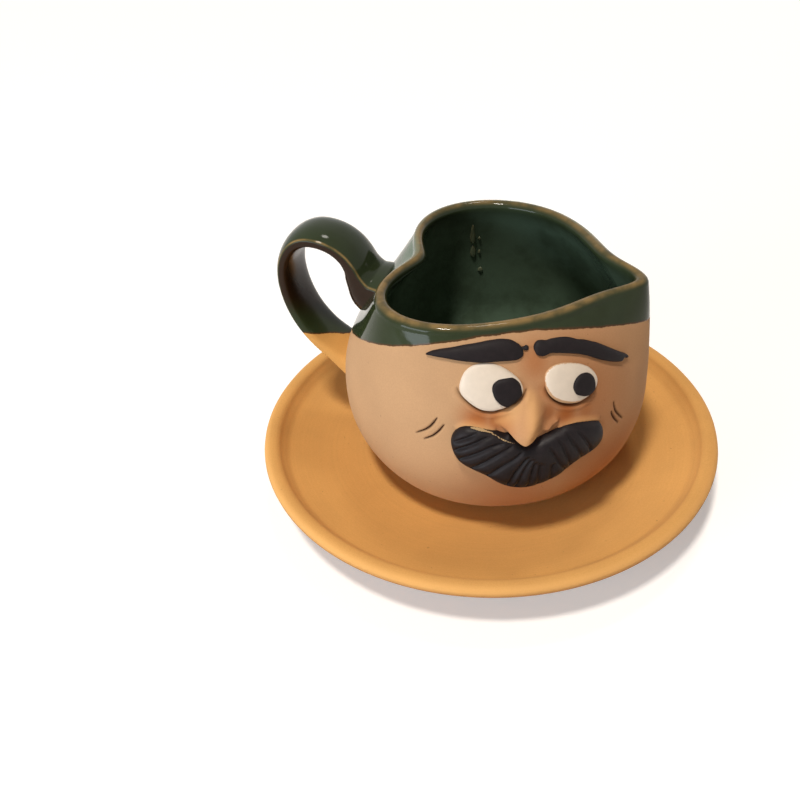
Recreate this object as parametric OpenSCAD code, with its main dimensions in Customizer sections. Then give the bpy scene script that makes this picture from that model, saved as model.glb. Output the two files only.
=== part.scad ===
// Small clay cup with a heart-shaped pouring rim, a strap handle and a modelled face, on its saucer.
// Millimetres. The origin is the middle of the saucer's foot, +Z is up and +X is the way the spout points.

/* [Cup] */
// Height of the cup from its foot to the top of its lip
cup_h = 56; // [50:1:66]
// Diameter of the cup at its widest ring
belly_d = 77; // [70:1:86]
// Height of the widest ring above the foot
belly_h = 23.8; // [20:0.2:27]
// Diameter of the foot that the cup stands on
foot_d = 41; // [34:1:46]
// Thickness of the wall
wall_t = 3.6; // [2.8:0.1:4.6]
// Thickness of the rounded lip
lip_t = 3.5; // [2.6:0.1:4.4]
// Thickness of the cup's floor
base_t = 5; // [3.5:0.5:8]
// Depth of the hollow turned under the foot
foot_hollow = 1; // [0.5:0.1:2]
// Width of the foot's ring
foot_ring_w = 5; // [3:0.5:8]
// How far the cup stands off the saucer's middle, towards the spout
cup_off_x = 1.6; // [-4:0.1:4]
// How far the cup stands off the saucer's middle, to the left of the spout
cup_off_y = 1.9; // [-4:0.1:4]

/* [Rim] */
// Mean diameter of the rim before the spout and the notch are formed
rim_d = 66.6; // [62:1:74]
// How far the spout is drawn out
spout_reach = 10.4; // [6:0.5:13]
// Half of the spout's width, as an angle
spout_half = 14; // [10:1:20]
// How far the rim is pressed in over the handle
notch_depth = 22.4; // [14:0.2:26]
// Half of the notch's width, as an angle
notch_half = 42; // [30:1:48]
// Turn of the notch from the line of spout and handle
notch_turn = 5; // [-8:1:8]
// How far the rim as a whole leans towards the handle
rim_lean = 8.5; // [5:0.5:10]
// Small waves that the hand left in the rim: oval, skew and three-lobed
rim_oval = 1; // [-2:0.1:2]
rim_skew = 0.9; // [-2:0.1:2]
rim_wave = 1.1; // [-2:0.1:2]

/* [Handle] */
// Width of the strap
handle_w = 13.4; // [9:0.2:15]
// Thickness of the strap at its middle
handle_t = 3.8; // [2.8:0.1:4.8]
// How far the loop stands out from the belly
handle_stand = 17.9; // [13:0.1:24]
// Height of the loop's top above the foot
handle_top = 60.5; // [54:0.1:66]
// Height of the upper root above the foot
root_top = 46; // [42:0.5:50]
// Height of the lower root above the foot
root_low = 21; // [16:0.5:26]

/* [Face] */
// Turn of the face's middle from the spout
face_turn = -63; // [-80:1:-50]
// How far the whites of the eyes stand out
eye_proud = 1.1; // [0.6:0.1:2]
// How far the pupils stand out from the wall
pupil_proud = 1.7; // [1.4:0.1:2.6]
// How far the eyebrows stand out
brow_proud = 1.3; // [0.8:0.1:2]
// How far the moustache stands out
moustache_proud = 3; // [2:0.1:4]
// How far the nose's tip stands out
nose_proud = 5.2; // [3:0.1:7]

/* [Saucer] */
// Diameter of the saucer
saucer_d = 120; // [108:1:140]
// Height of the saucer's rim above the table
saucer_h = 14.5; // [12:0.5:20]
// Height of the flat seat that the cup stands on
seat_h = 6; // [5:0.5:8]
// Diameter of that seat
seat_d = 56; // [50:1:66]
// Thickness of the saucer
saucer_t = 3.8; // [3:0.1:4.6]
// Width of the raised band round the rim
band_w = 4.2; // [3:0.1:7]
// Outer diameter of the ring that the saucer stands on
ring_d = 66; // [60:1:80]
// Width of that ring
ring_w = 4; // [3:0.5:7]

/* [Hidden] */
belly_r = belly_d / 2;
foot_r = foot_d / 2;
foot_z = seat_h;
belly_z = foot_z + belly_h;
rim_z = foot_z + cup_h;
lip_z = rim_z - lip_t / 2;

// Angle between neighbouring points of the cup's rings
ring_step = 4;
ring_angles = [for (a = [0 : ring_step : 360 - ring_step]) a];

// Heights in the upper wall follow this power, so that the belly stays round and the rim takes the heart
rim_power = 2.25;
// The wall thickens to keep its true thickness where it leans, up to this many times
lean_limit = 1.9;

// A piece that is pressed on reaches this far into the wall before it is cut back to the wall's outside
sink_share = 0.6;
sink_depth = sink_share * wall_t;

function wrap(a) = a - 360 * round(a / 360);
function mix(a, b, s) = a + (b - a) * s;

// Radius of the rim's outer edge at angle t from the spout
function rim_r(t) =
    rim_d / 2
    + spout_reach / (1 + pow(wrap(t) / spout_half, 2))
    - notch_depth * exp(-pow(wrap(t - 180 - notch_turn) / notch_half, 2))
    - rim_lean * cos(t)
    + rim_oval * cos(2 * t)
    + rim_skew * sin(2 * t)
    - rim_wave * sin(3 * t);

// Outer radius of the cup at angle t and height z: a quarter ellipse below the belly, the heart above it
function wall_r(t, z) =
    z < belly_z
    ? let (v = min(1, (belly_z - z) / belly_h)) foot_r + (belly_r - foot_r) * sqrt(1 - v * v)
    : let (w = pow(min(1, (z - belly_z) / (lip_z - belly_z)), rim_power)) mix(belly_r, rim_r(t), w);

// Thickness of the wall measured along the radius, so that it stays wall_t across a wall that leans
lean_probe = lip_t / 4;
lip_blend = lip_t * 3;
function lean_share(t, z) =
    let (
        rise = (wall_r(t, z + lean_probe) - wall_r(t, z - lean_probe)) / (2 * lean_probe),
        turn = (wall_r(t + 1, z) - wall_r(t - 1, z)) * 90 / (PI * wall_r(t, z))
    )
    min(lean_limit, sqrt(1 + rise * rise + turn * turn));
function thick(t, z) =
    let (s = min(1, max(0, (lip_z - z) / lip_blend)))
    mix(lip_t, wall_t * lean_share(t, min(z, lip_z - lean_probe)), s);

// A point in the part's frame from the cup's own angle, radius and height
function cup_point(t, r, z) = [cup_off_x + r * cos(t), cup_off_y + r * sin(t), z];
function ring(radius_at, z) = [
    for (i = [0 : len(ring_angles) - 1])
        cup_point(ring_angles[i], radius_at[i], z)
];
function flat_ring(r, z) = ring([for (t = ring_angles) r], z);
function wall_ring(z) = ring([for (t = ring_angles) wall_r(t, z)], z);

// Rings under the foot, from the middle of its hollow out to its edge
foot_rings = [
    flat_ring(foot_r - foot_ring_w, foot_z + foot_hollow),
    flat_ring(foot_r - foot_ring_w, foot_z),
    flat_ring(foot_r, foot_z)
];
outer_steps = 10;
belly_rings = [
    for (k = [1 : outer_steps])
        let (a = 90 * (1 - k / outer_steps)) wall_ring(belly_z - belly_h * sin(a))
];
upper_rings = [for (k = [1 : outer_steps]) wall_ring(mix(belly_z, lip_z, k / outer_steps))];
lip_steps = 6;
lip_rings = [
    for (k = [1 : lip_steps])
        let (a = 180 * k / lip_steps, in = lip_t / 2 * (1 - cos(a)))
        ring([for (t = ring_angles) wall_r(t, lip_z) - in], lip_z + lip_t / 2 * sin(a))
];
inner_steps = 8;
inner_upper_rings = [
    for (k = [1 : inner_steps])
        let (z = mix(lip_z, belly_z, k / inner_steps))
        ring([for (t = ring_angles) wall_r(t, z) - thick(t, z)], z)
];
inner_floor_z = foot_z + base_t;
inner_foot_r = foot_r - wall_t;
inner_bowl_rings = [
    for (k = [1 : inner_steps])
        let (a = 90 * k / inner_steps, r = belly_r - wall_t)
        flat_ring(mix(inner_foot_r, r, cos(a)), mix(belly_z, inner_floor_z, sin(a)))
];

// Joins rings of points into a closed skin, with a flat cap on the first and on the last
module skin(rings) {
    n = len(rings[0]);
    m = len(rings);
    points = [for (ring = rings) each ring];
    sides = [
        for (j = [0 : m - 2], i = [0 : n - 1])
            let (a = j * n + i, b = j * n + (i + 1) % n)
            each [[a, b, b + n], [a, b + n, a + n]]
    ];
    first = [for (i = [0 : n - 1]) n - 1 - i];
    last = [for (i = [0 : n - 1]) (m - 1) * n + i];
    outward = concat(sides, [first, last]);
    polyhedron(points = points, faces = [for (face = outward) [for (i = [len(face) - 1 : -1 : 0]) face[i]]]);
}

// The outside of the cup as one solid, which everything pressed on to it is cut to
outer_lip_rings = [for (k = [0 : lip_steps / 2 - 1]) lip_rings[k]];
module cup_outside() skin(concat([foot_rings[2]], belly_rings, upper_rings, outer_lip_rings));

module cup_body()
    color("#c98f68")
    skin(concat(foot_rings, belly_rings, upper_rings, lip_rings, inner_upper_rings, inner_bowl_rings));

// Middle line of the strap: out of the wall under the notch, up and over, and back in to the belly.
// Each row is the share of the loop's stand beyond the belly and the share of its top height.
loop_shares = [
    [-0.38, 0.84], [-0.24, 0.905], [-0.09, 0.956], [0.12, 0.991], [0.38, 1], [0.63, 0.984], [0.82, 0.944],
    [0.95, 0.884], [1, 0.807], [0.975, 0.722], [0.89, 0.639], [0.75, 0.56], [0.54, 0.486], [0.29, 0.424]
];
loop_stand = handle_stand - handle_t / 2;
loop_top = handle_top - handle_t / 2;
// Both roots run on into the wall: shares of the strap's thickness outward and upward from the wall
upper_root_shares = [[-1, -1.2], [-0.12, 0]];
lower_root_shares = [[0.12, 0], [-1.4, -0.7]];
function root_point(share, h) =
    [wall_r(180, foot_z + h) + share[0] * handle_t, foot_z + h + share[1] * handle_t];
strap_points = concat(
    [for (p = upper_root_shares) root_point(p, root_top)],
    [for (p = loop_shares) [belly_r + p[0] * loop_stand, foot_z + p[1] * loop_top]],
    [for (p = lower_root_shares) root_point(p, root_low)]
);

// Smooth curve through a list of points, with a given number of steps between neighbours
function pick(list, i) = list[min(len(list) - 1, max(0, i))];
function curve_at(list, i, s) =
    let (a = pick(list, i - 1), b = list[i], c = pick(list, i + 1), d = pick(list, i + 2))
    0.5 * (2 * b + (c - a) * s + (2 * a - 5 * b + 4 * c - d) * s * s + (3 * b - a - 3 * c + d) * s * s * s);
function curve(list, steps) = concat(
    [for (i = [0 : len(list) - 2], k = [0 : steps - 1]) curve_at(list, i, k / steps)],
    [list[len(list) - 1]]
);
function unit(v) = v / norm(v);

strap_steps = 3;
strap_line = curve(strap_points, strap_steps);
// The strap is broader where it is pressed on to the cup
root_flare_share = 0.22;
root_flare_power = 6;
section_power = 2.6;
section_step = 18;
section_angles = [for (a = [0 : section_step : 360 - section_step]) a];
function lobe(c) = sign(c) * pow(abs(c), 2 / section_power);
function strap_ring(i) =
    let (
        n = len(strap_line) - 1,
        p = strap_line[i],
        run = unit(strap_line[min(n, i + 1)] - strap_line[max(0, i - 1)]),
        side = [run[1], -run[0]],
        near_root = pow(abs(2 * i / n - 1), root_flare_power),
        w = handle_w * (1 + root_flare_share * near_root)
    )
    [
        for (a = section_angles)
            let (q = p + side * handle_t / 2 * lobe(sin(a)))
            [cup_off_x - q[0], cup_off_y + w / 2 * lobe(cos(a)), q[1]]
    ];

module handle()
    color("#2f3d24")
    difference() {
        skin([for (i = [0 : len(strap_line) - 1]) strap_ring(i)]);
        cup_outside();
    }

// A pad of clay pressed on to the wall. Its outline is a list of [angle from the face's middle, share of
// the cup's height], its middle is such a pair too, and there it stands proud of the wall as told.
pad_rings = 5;
pad_fullness = 3;
eye_fullness = 4;
nose_fullness = 1.5;
function face_point(p, h) =
    let (t = face_turn + p[0], z = foot_z + p[1] * cup_h)
    cup_point(t, wall_r(t, z) + h, z);
module pad(outline, middle, proud, fullness = pad_fullness) {
    n = len(outline);
    tops = [
        for (k = [0 : pad_rings - 1])
            let (s = cos(90 * k / pad_rings), h = proud * pow(1 - pow(s, fullness), 1 / fullness))
            [for (p = outline) face_point(mix(middle, p, s), h)]
    ];
    points = concat([for (p = outline) face_point(p, -sink_depth)], [for (ring = tops) each ring],
        [face_point(middle, proud), face_point(middle, -sink_depth * 2)]);
    top = n * (pad_rings + 1);
    sides = [
        for (j = [0 : pad_rings - 1], i = [0 : n - 1])
            let (a = j * n + i, b = j * n + (i + 1) % n)
            each [[a, b, b + n], [a, b + n, a + n]]
    ];
    roof = [for (i = [0 : n - 1]) [pad_rings * n + i, pad_rings * n + (i + 1) % n, top]];
    back = [for (i = [0 : n - 1]) [(i + 1) % n, i, top + 1]];
    polyhedron(points = points, faces = concat(sides, roof, back));
}
eye_step = 15;
pupil_step = 20;
function oval(shares, step) = [
    for (a = [360 - step : -step : 0])
        [shares[0][0] + shares[1][0] * cos(a), shares[0][1] + shares[1][1] * sin(a)]
];

// Places on the face: [angle from its middle, share of the cup's height], and half sizes in the same measures
handle_eye_shares = [[-14.1, 0.783], [10.7, 0.092]];
spout_eye_shares = [[16.2, 0.753], [10.3, 0.076]];
handle_pupil_shares = [[-8.3, 0.776], [5.3, 0.057]];
spout_pupil_shares = [[20.4, 0.744], [4.7, 0.047]];

handle_brow_shares = [
    [-38, 0.901], [-32, 0.924], [-26, 0.939], [-18, 0.949], [-11, 0.949], [-4.5, 0.943], [-1.2, 0.918],
    [-1.4, 0.895], [-5, 0.883], [-12, 0.884], [-20, 0.887], [-28, 0.891], [-34, 0.897]
];
handle_brow_middle_shares = [-17, 0.921];
spout_brow_shares = [
    [2.8, 0.903], [5.4, 0.927], [11, 0.929], [17, 0.917], [24, 0.889], [31.5, 0.847], [38.5, 0.797],
    [44.6, 0.754], [40, 0.75], [31.5, 0.792], [25, 0.83], [17, 0.862], [9, 0.877], [5, 0.881]
];
spout_brow_middle_shares = [19, 0.88];
moustache_shares = [
    [-27.3, 0.548], [-25.3, 0.602], [-20.5, 0.632], [-16.3, 0.63], [-11.5, 0.605], [-6, 0.57],
    [-2.5, 0.55], [2.5, 0.568], [8, 0.595], [14, 0.604], [20, 0.592], [25.2, 0.56],
    [26.8, 0.514], [25.4, 0.455], [20.6, 0.415], [14.5, 0.396], [9, 0.358], [3.7, 0.325],
    [-2.9, 0.316], [-9, 0.336], [-14, 0.374], [-18.5, 0.42], [-23, 0.464], [-26.2, 0.504]
];
moustache_middle_shares = [-1, 0.46];
nose_shares = [
    [-1.4, 0.86], [2, 0.86], [2.8, 0.78], [3.4, 0.71], [4.8, 0.66], [6.8, 0.636], [6.6, 0.604],
    [3, 0.586], [-2.2, 0.58], [-6, 0.59], [-7.8, 0.616], [-6.4, 0.65], [-4.4, 0.7], [-2.6, 0.78]
];
nose_middle_shares = [-1.2, 0.625];

module handle_eye_pad() pad(oval(handle_eye_shares, eye_step), handle_eye_shares[0], eye_proud, eye_fullness);
module spout_eye_pad() pad(oval(spout_eye_shares, eye_step), spout_eye_shares[0], eye_proud, eye_fullness);
module nose_pad() pad(nose_shares, nose_middle_shares, nose_proud, nose_fullness);

module eye_handle_side() color("#f3ead6") difference() { handle_eye_pad(); cup_outside(); }
module eye_spout_side() color("#f3ead6") difference() { spout_eye_pad(); cup_outside(); }
module pupil_handle_side()
    color("#1c1714")
    difference() {
        pad(oval(handle_pupil_shares, pupil_step), handle_pupil_shares[0], pupil_proud, eye_fullness);
        handle_eye_pad();
        cup_outside();
    }
module pupil_spout_side()
    color("#1c1714")
    difference() {
        pad(oval(spout_pupil_shares, pupil_step), spout_pupil_shares[0], pupil_proud, eye_fullness);
        spout_eye_pad();
        cup_outside();
    }
module brow_handle_side()
    color("#1c1714")
    difference() {
        pad(handle_brow_shares, handle_brow_middle_shares, brow_proud);
        cup_outside();
    }
module brow_spout_side()
    color("#1c1714")
    difference() {
        pad(spout_brow_shares, spout_brow_middle_shares, brow_proud);
        cup_outside();
    }
module nose()
    color("#c98f68")
    difference() {
        nose_pad();
        handle_eye_pad();
        spout_eye_pad();
        cup_outside();
    }
module moustache()
    color("#1c1714")
    difference() {
        pad(moustache_shares, moustache_middle_shares, moustache_proud);
        nose_pad();
        cup_outside();
    }

// Upper face of the saucer as [radius, height]: flat seat, rising floor, short step, band at the edge
saucer_r = saucer_d / 2;
band_in = saucer_r - band_w;
band_step_share = 0.7;
slope_out = band_in - band_w * band_step_share;
slope_top = saucer_h - saucer_t;
slope_power = 1.7;
slope_steps = 8;
function slope_z(r) =
    seat_h + (slope_top - seat_h) * pow(max(0, (r - seat_d / 2) / (slope_out - seat_d / 2)), slope_power);
slope_line = [
    for (k = [0 : slope_steps])
        let (r = mix(seat_d / 2, slope_out, k / slope_steps))
        [r, slope_z(r)]
];
// The step as shares of its width and height, and the band's round edge as shares of edge_round in from the
// saucer's edge and down from its top
edge_round = saucer_t / 3;
step_shares = [[0.5, 0.42], [0.82, 0.8]];
inner_edge_shares = [[0, 0.62], [0.45, 0.22], [1, 0.04]];
outer_edge_shares = [[1.4, 0], [0.7, 0.16], [0.2, 0.66], [0, 1.3], [0.3, 2], [1.2, 2.6]];
band_line = concat(
    [for (p = step_shares) [mix(slope_out, band_in, p[0]), mix(slope_top, saucer_h - edge_round, p[1])]],
    [for (p = inner_edge_shares) [band_in + p[0] * edge_round, saucer_h - p[1] * edge_round]],
    [for (p = outer_edge_shares) [saucer_r - p[0] * edge_round, saucer_h - p[1] * edge_round]]
);
// Lower face, out to in, and the ring under it
ring_r = ring_d / 2;
ring_gap_share = 0.25;
under_in = ring_r + saucer_t * ring_gap_share;
under_shift_share = 0.33;
under_drop_share = 0.98;
under_line = [
    for (k = [slope_steps : -1 : 0])
        let (r = mix(under_in, slope_out, k / slope_steps))
        [r + saucer_t * under_shift_share, slope_z(r) - saucer_t * under_drop_share]
];
ring_hollow = seat_h - saucer_t;
ring_round_share = 0.2;
ring_round = ring_w * ring_round_share;
ring_in = ring_r - ring_w;
ring_line = [
    [ring_r, ring_round],
    [ring_r - ring_round, 0],
    [ring_in + ring_round, 0],
    [ring_in, ring_round],
    [ring_in - ring_round, ring_hollow]
];
saucer_facets = 144;

module saucer()
    color("#cf9a58")
    rotate_extrude($fn = saucer_facets)
    polygon(concat([[0, ring_hollow], [0, seat_h]], slope_line, band_line, under_line, ring_line));

saucer();
cup_body();
handle();
eye_handle_side();
eye_spout_side();
pupil_handle_side();
pupil_spout_side();
brow_handle_side();
brow_spout_side();
nose();
moustache();
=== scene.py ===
"""A small hand-built clay cup with a modelled face, and the saucer that it stands on.

The settings are in metres and radians, and the stage's distances in metres. All other lengths are in
millimetres and all other angles in degrees, and angles round the cup count from the spout.
"""

import math
from functools import partial

import bpy
import numpy as np
from bpy.props import FloatProperty, FloatVectorProperty, IntProperty, PointerProperty
from bpy.types import Operator, Panel, PropertyGroup
from mathutils import Matrix, Vector


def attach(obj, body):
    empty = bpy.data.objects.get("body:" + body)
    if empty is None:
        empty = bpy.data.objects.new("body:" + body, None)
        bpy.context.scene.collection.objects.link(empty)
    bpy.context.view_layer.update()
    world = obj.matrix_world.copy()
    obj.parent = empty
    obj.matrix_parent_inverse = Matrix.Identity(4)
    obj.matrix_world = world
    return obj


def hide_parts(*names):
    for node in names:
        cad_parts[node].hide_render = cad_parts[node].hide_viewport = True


bl_info = {
    "name": "Clay Cup and Saucer",
    "version": (1, 0, 0),
    "blender": (4, 5, 0),
    "location": "3D View > Sidebar > Clay Cup",
    "description": "Builds a hand-made clay cup with a modelled face, and its saucer",
    "category": "Add Mesh",
}

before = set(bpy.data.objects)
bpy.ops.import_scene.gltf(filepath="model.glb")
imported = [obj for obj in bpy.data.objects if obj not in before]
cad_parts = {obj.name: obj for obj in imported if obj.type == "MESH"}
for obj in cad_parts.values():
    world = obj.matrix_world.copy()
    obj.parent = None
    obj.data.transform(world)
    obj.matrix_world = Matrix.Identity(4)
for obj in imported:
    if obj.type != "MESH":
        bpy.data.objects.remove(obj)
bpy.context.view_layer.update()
METRES = 0.001

# The photograph's camera: where it looks from, in degrees and millimetres, and its frame in pixels
VIEW_AZIMUTH, VIEW_HEIGHT, VIEW_ROLL = 21.51, 37.40, -4.23
VIEW_DISTANCE = 237.69
VIEW_TARGET = np.array([-21.17, -8.34, 23.30])
VIEW_FOCAL = 900.0
FRAME_WIDTH, FRAME_HEIGHT = 800, 798
SENSOR_WIDTH = 36.0


# Settings


def length(name, description, millimetres):
    size = millimetres * METRES
    return FloatProperty(name=name, description=description, default=size, unit="LENGTH", precision=5)


def angle(name, description, degrees):
    return FloatProperty(name=name, description=description, default=math.radians(degrees), unit="ROTATION")


def linear(code):
    """Linear red, green and blue of an sRGB hex colour."""
    parts = [int(code[i : i + 2], 16) / 255 for i in (1, 3, 5)]
    return [p / 12.92 if p <= 0.04045 else ((p + 0.055) / 1.055) ** 2.4 for p in parts]


def colour(name, description, code):
    return FloatVectorProperty(
        name=name, description=description, default=linear(code), subtype="COLOR", min=0, max=1
    )


class CupSizes(PropertyGroup):
    height: length("Height", "Height of the cup from its foot to the top of its lip", 56)
    belly_width: length("Belly", "Diameter of the cup at its widest ring", 77)
    belly_height: length("Belly height", "Height of the widest ring above the foot", 23.8)
    foot_width: length("Foot", "Diameter of the foot", 41)
    wall: length("Wall", "Thickness of the wall", 3.6)
    lip: length("Lip", "Thickness of the rounded lip", 3.5)
    floor: length("Floor", "Thickness of the floor", 5)
    foot_hollow: length("Foot hollow", "Depth of the hollow under the foot", 1)
    foot_ring: length("Foot ring", "Width of the foot's ring", 5)
    seat: length("Seat", "Height of the saucer's seat above the table", 6)
    off_x: length("Off X", "How far the cup stands off the saucer's middle, towards the spout", 1.6)
    off_y: length("Off Y", "How far the cup stands off the saucer's middle, to the left of the spout", 1.9)
    rim_width: length("Rim", "Mean diameter of the rim before spout and notch", 66.6)
    spout_reach: length("Spout reach", "How far the spout is drawn out", 10.4)
    spout_half: angle("Spout half width", "Half of the spout's width", 14)
    notch_depth: length("Notch depth", "How far the rim is pressed in over the handle", 22.4)
    notch_half: angle("Notch half width", "Half of the notch's width", 42)
    notch_turn: angle("Notch turn", "Turn of the notch from the line of spout and handle", 5)
    rim_lean: length("Rim lean", "How far the rim leans towards the handle", 8.5)
    rim_oval: length("Rim oval", "Oval wave of the rim", 1)
    rim_skew: length("Rim skew", "Skew wave of the rim", 0.9)
    rim_wave: length("Rim wave", "Three-lobed wave of the rim", 1.1)
    unevenness: length("Unevenness", "How far the hand-pressed wall strays from its true form", 0.14)


class HandleSizes(PropertyGroup):
    width: length("Width", "Width of the strap", 13.4)
    thickness: length("Thickness", "Thickness of the strap at its middle", 3.8)
    stand: length("Stand", "How far the loop stands out from the belly", 17.9)
    top: length("Top", "Height of the loop's top above the foot", 60.5)
    root_top: length("Upper root", "Height of the upper root above the foot", 46)
    root_low: length("Lower root", "Height of the lower root above the foot", 21)
    dip_near: length("Glaze, face side", "Height of the glaze's edge on the face's side of the strap", 37.6)
    dip_far: length("Glaze, far side", "Height of the glaze's edge on the far side of the strap", 30.9)


class FaceSizes(PropertyGroup):
    eye: length("Eyes", "How far the whites of the eyes stand out", 1.1)
    pupil: length("Pupils", "Thickness of the pupils", 0.75)
    brow: length("Eyebrows", "How far the eyebrows stand out", 1.3)
    moustache: length("Moustache", "How far the moustache stands out", 3.1)
    nose: length("Nose", "How far the nose's tip stands out", 5.2)
    comb: length("Combed grooves", "Depth of the moustache's combed grooves", 0.75)
    line: length("Cut lines", "Depth of the lines cut with a tool", 0.5)


class SaucerSizes(PropertyGroup):
    width: length("Width", "Diameter of the saucer", 120)
    height: length("Height", "Height of the rim above the table", 14.5)
    seat_width: length("Seat", "Diameter of the flat seat", 56)
    thickness: length("Thickness", "Thickness of the saucer", 3.8)
    band: length("Band", "Width of the raised band round the rim", 4.2)
    ring_width: length("Foot ring", "Outer diameter of the foot ring", 66)
    ring_wall: length("Ring wall", "Width of the foot ring", 4)
    waver: length("Waver", "How far the turned form strays from a true circle", 0.12)
    steps: IntProperty(name="Steps", description="Steps around the saucer", default=256, min=24)


class Finishes(PropertyGroup):
    terracotta: colour("Terracotta", "Unglazed saucer and handle root", "#DAA25A")
    clay: colour("Clay", "Bare clay of the cup", "#C59C74")
    # Painted highlight on the nose's ridge, under an eye and along the moustache's upper edge
    clay_pale: colour("Pale clay", "Rubbed clay on the nose", "#DDAA70")
    # Painted shade in the cut lines and the lids' creases, and on the strap's inner side
    cut_line: colour("Cut lines", "Dark clay at the bottom of lines cut with a tool", "#2C140A")
    # Partly an iron wash and the brown hem at the glaze's edge, partly painted shade round the nose, the eyes
    # and low on the spout's side
    clay_wash: colour("Iron wash", "Browner clay round the nose and the eyes", "#A55C2A")
    glaze: colour("Glaze", "Green glaze on the outside", "#262C10")
    # Partly the glaze's own colour where it lies deep, partly a painted reflection that lightens the bowl
    glaze_pool: colour("Pooled glaze", "Bluer green where the glaze lies deep in the bowl", "#607563")
    glaze_thin: colour("Thin glaze", "Where the glaze breaks over an edge", "#977A4A")
    white_slip: colour("White slip", "Whites of the eyes", "#E0D1BF")
    black_slip: colour("Black slip", "Pupils, eyebrows and moustache", "#150F10")
    # Partly slip rubbed off the moustache, partly a painted highlight along its upper edge and front
    rubbed_slip: colour("Rubbed slip", "Where the moustache's slip is rubbed off", "#B79C74")


class ClayCupSettings(PropertyGroup):
    cup: PointerProperty(type=CupSizes)
    handle: PointerProperty(type=HandleSizes)
    face: PointerProperty(type=FaceSizes)
    saucer: PointerProperty(type=SaucerSizes)
    finishes: PointerProperty(type=Finishes)


def settings():
    return bpy.context.scene.clay_cup


class Millimetres:
    """A group's lengths in millimetres and its angles in degrees."""

    def __init__(self, group):
        for name in group.__annotations__:
            unit = group.bl_rna.properties[name].unit
            value = getattr(group, name)
            if unit == "LENGTH":
                value /= METRES
            elif unit == "ROTATION":
                value = math.degrees(value)
            setattr(self, name, value)


# Shapes


def turn_of(degrees):
    return (np.asarray(degrees) + 180) % 360 - 180


def cos(degrees):
    return np.cos(np.radians(degrees))


def sin(degrees):
    return np.sin(np.radians(degrees))


def mix(a, b, share):
    return a + (b - a) * share


def bell(value, width):
    """1 at nought, and falling away smoothly on both sides."""
    return np.exp(-((value / width) ** 2))


def smooth_step(low, high, value):
    s = np.clip((value - low) / (high - low), 0, 1)
    return s * s * (3 - 2 * s)


class Wall:
    """The outside of the cup, as a radius over angle and height."""

    RISE_POWER = 2.25
    LEAN_LIMIT = 1.9

    def __init__(self):
        self.size = s = Millimetres(settings().cup)
        self.foot_z = s.seat
        self.belly_z = s.seat + s.belly_height
        self.lip_z = s.seat + s.height - s.lip / 2
        self.belly_r = s.belly_width / 2
        self.foot_r = s.foot_width / 2
        self.degree = math.radians(1) * (self.belly_r - 3)

    def flat(self, tz):
        """Lays angles and heights on the wall out flat, in millimetres."""
        return np.asarray(tz) * [self.degree, 1.0]

    def rim(self, t):
        s = self.size
        return (
            s.rim_width / 2
            + s.spout_reach / (1 + (turn_of(t) / s.spout_half) ** 2)
            - s.notch_depth * bell(turn_of(t - 180 - s.notch_turn), s.notch_half)
            - s.rim_lean * cos(t)
            + s.rim_oval * cos(2 * t)
            + s.rim_skew * sin(2 * t)
            - s.rim_wave * sin(3 * t)
        )

    def radius(self, t, z):
        t, z = np.broadcast_arrays(np.asarray(t, float), np.asarray(z, float))
        below = np.clip((self.belly_z - z) / self.size.belly_height, 0, 1)
        bowl = self.foot_r + (self.belly_r - self.foot_r) * np.sqrt(1 - below**2)
        share = np.clip((z - self.belly_z) / (self.lip_z - self.belly_z), 0, 1)
        heart = mix(self.belly_r, self.rim(t), share**self.RISE_POWER)
        return np.where(z < self.belly_z, bowl, heart)

    def thickness(self, t, z):
        """Thickness along the radius, so that a wall that leans keeps its true thickness."""
        s = self.size
        probe = s.lip / 4
        low = np.minimum(z, self.lip_z - probe)
        rise = (self.radius(t, low + probe) - self.radius(t, low - probe)) / (2 * probe)
        turn = (self.radius(t + 1, low) - self.radius(t - 1, low)) * 90 / (math.pi * self.radius(t, low))
        lean = np.minimum(self.LEAN_LIMIT, np.sqrt(1 + rise**2 + turn**2))
        return mix(s.lip, s.wall * lean, np.clip((self.lip_z - z) / (3 * s.lip), 0, 1))

    def uneven(self, t, z):
        """Slow waves left in the wall where it was pressed out."""
        a = np.radians(t)
        waves = (
            0.5 * np.sin(3 * a + 1.3 + z / 11)
            + 0.3 * np.sin(5 * a - 0.7 - z / 7)
            + 0.2 * np.sin(8 * a + z / 4)
        )
        return self.size.unevenness * waves * smooth_step(self.foot_z, self.foot_z + 5, z)

    def point(self, t, z, out=0.0):
        return self.place(t, z, self.radius(t, z) + self.uneven(t, z) + out)

    def place(self, t, z, r):
        s = self.size
        return np.stack([s.off_x + r * cos(t), s.off_y + r * sin(t), np.broadcast_to(z, np.shape(r))], -1)


class InnerWall(Wall):
    """The inside of the bowl."""

    def point(self, t, z, out=0.0):
        return self.place(t, z, self.radius(t, z) - self.thickness(t, z) + self.uneven(t, z) - out)


def camera_axes():
    """Right, up and back of the photograph's camera."""
    a, e, roll = VIEW_AZIMUTH, VIEW_HEIGHT, VIEW_ROLL
    back = np.array([sin(a) * cos(e), -cos(a) * cos(e), sin(e)])
    level = np.array([cos(a), sin(a), 0.0])
    upright = np.cross(back, level)
    return level * cos(roll) + upright * sin(roll), upright * cos(roll) - level * sin(roll), back


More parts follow.
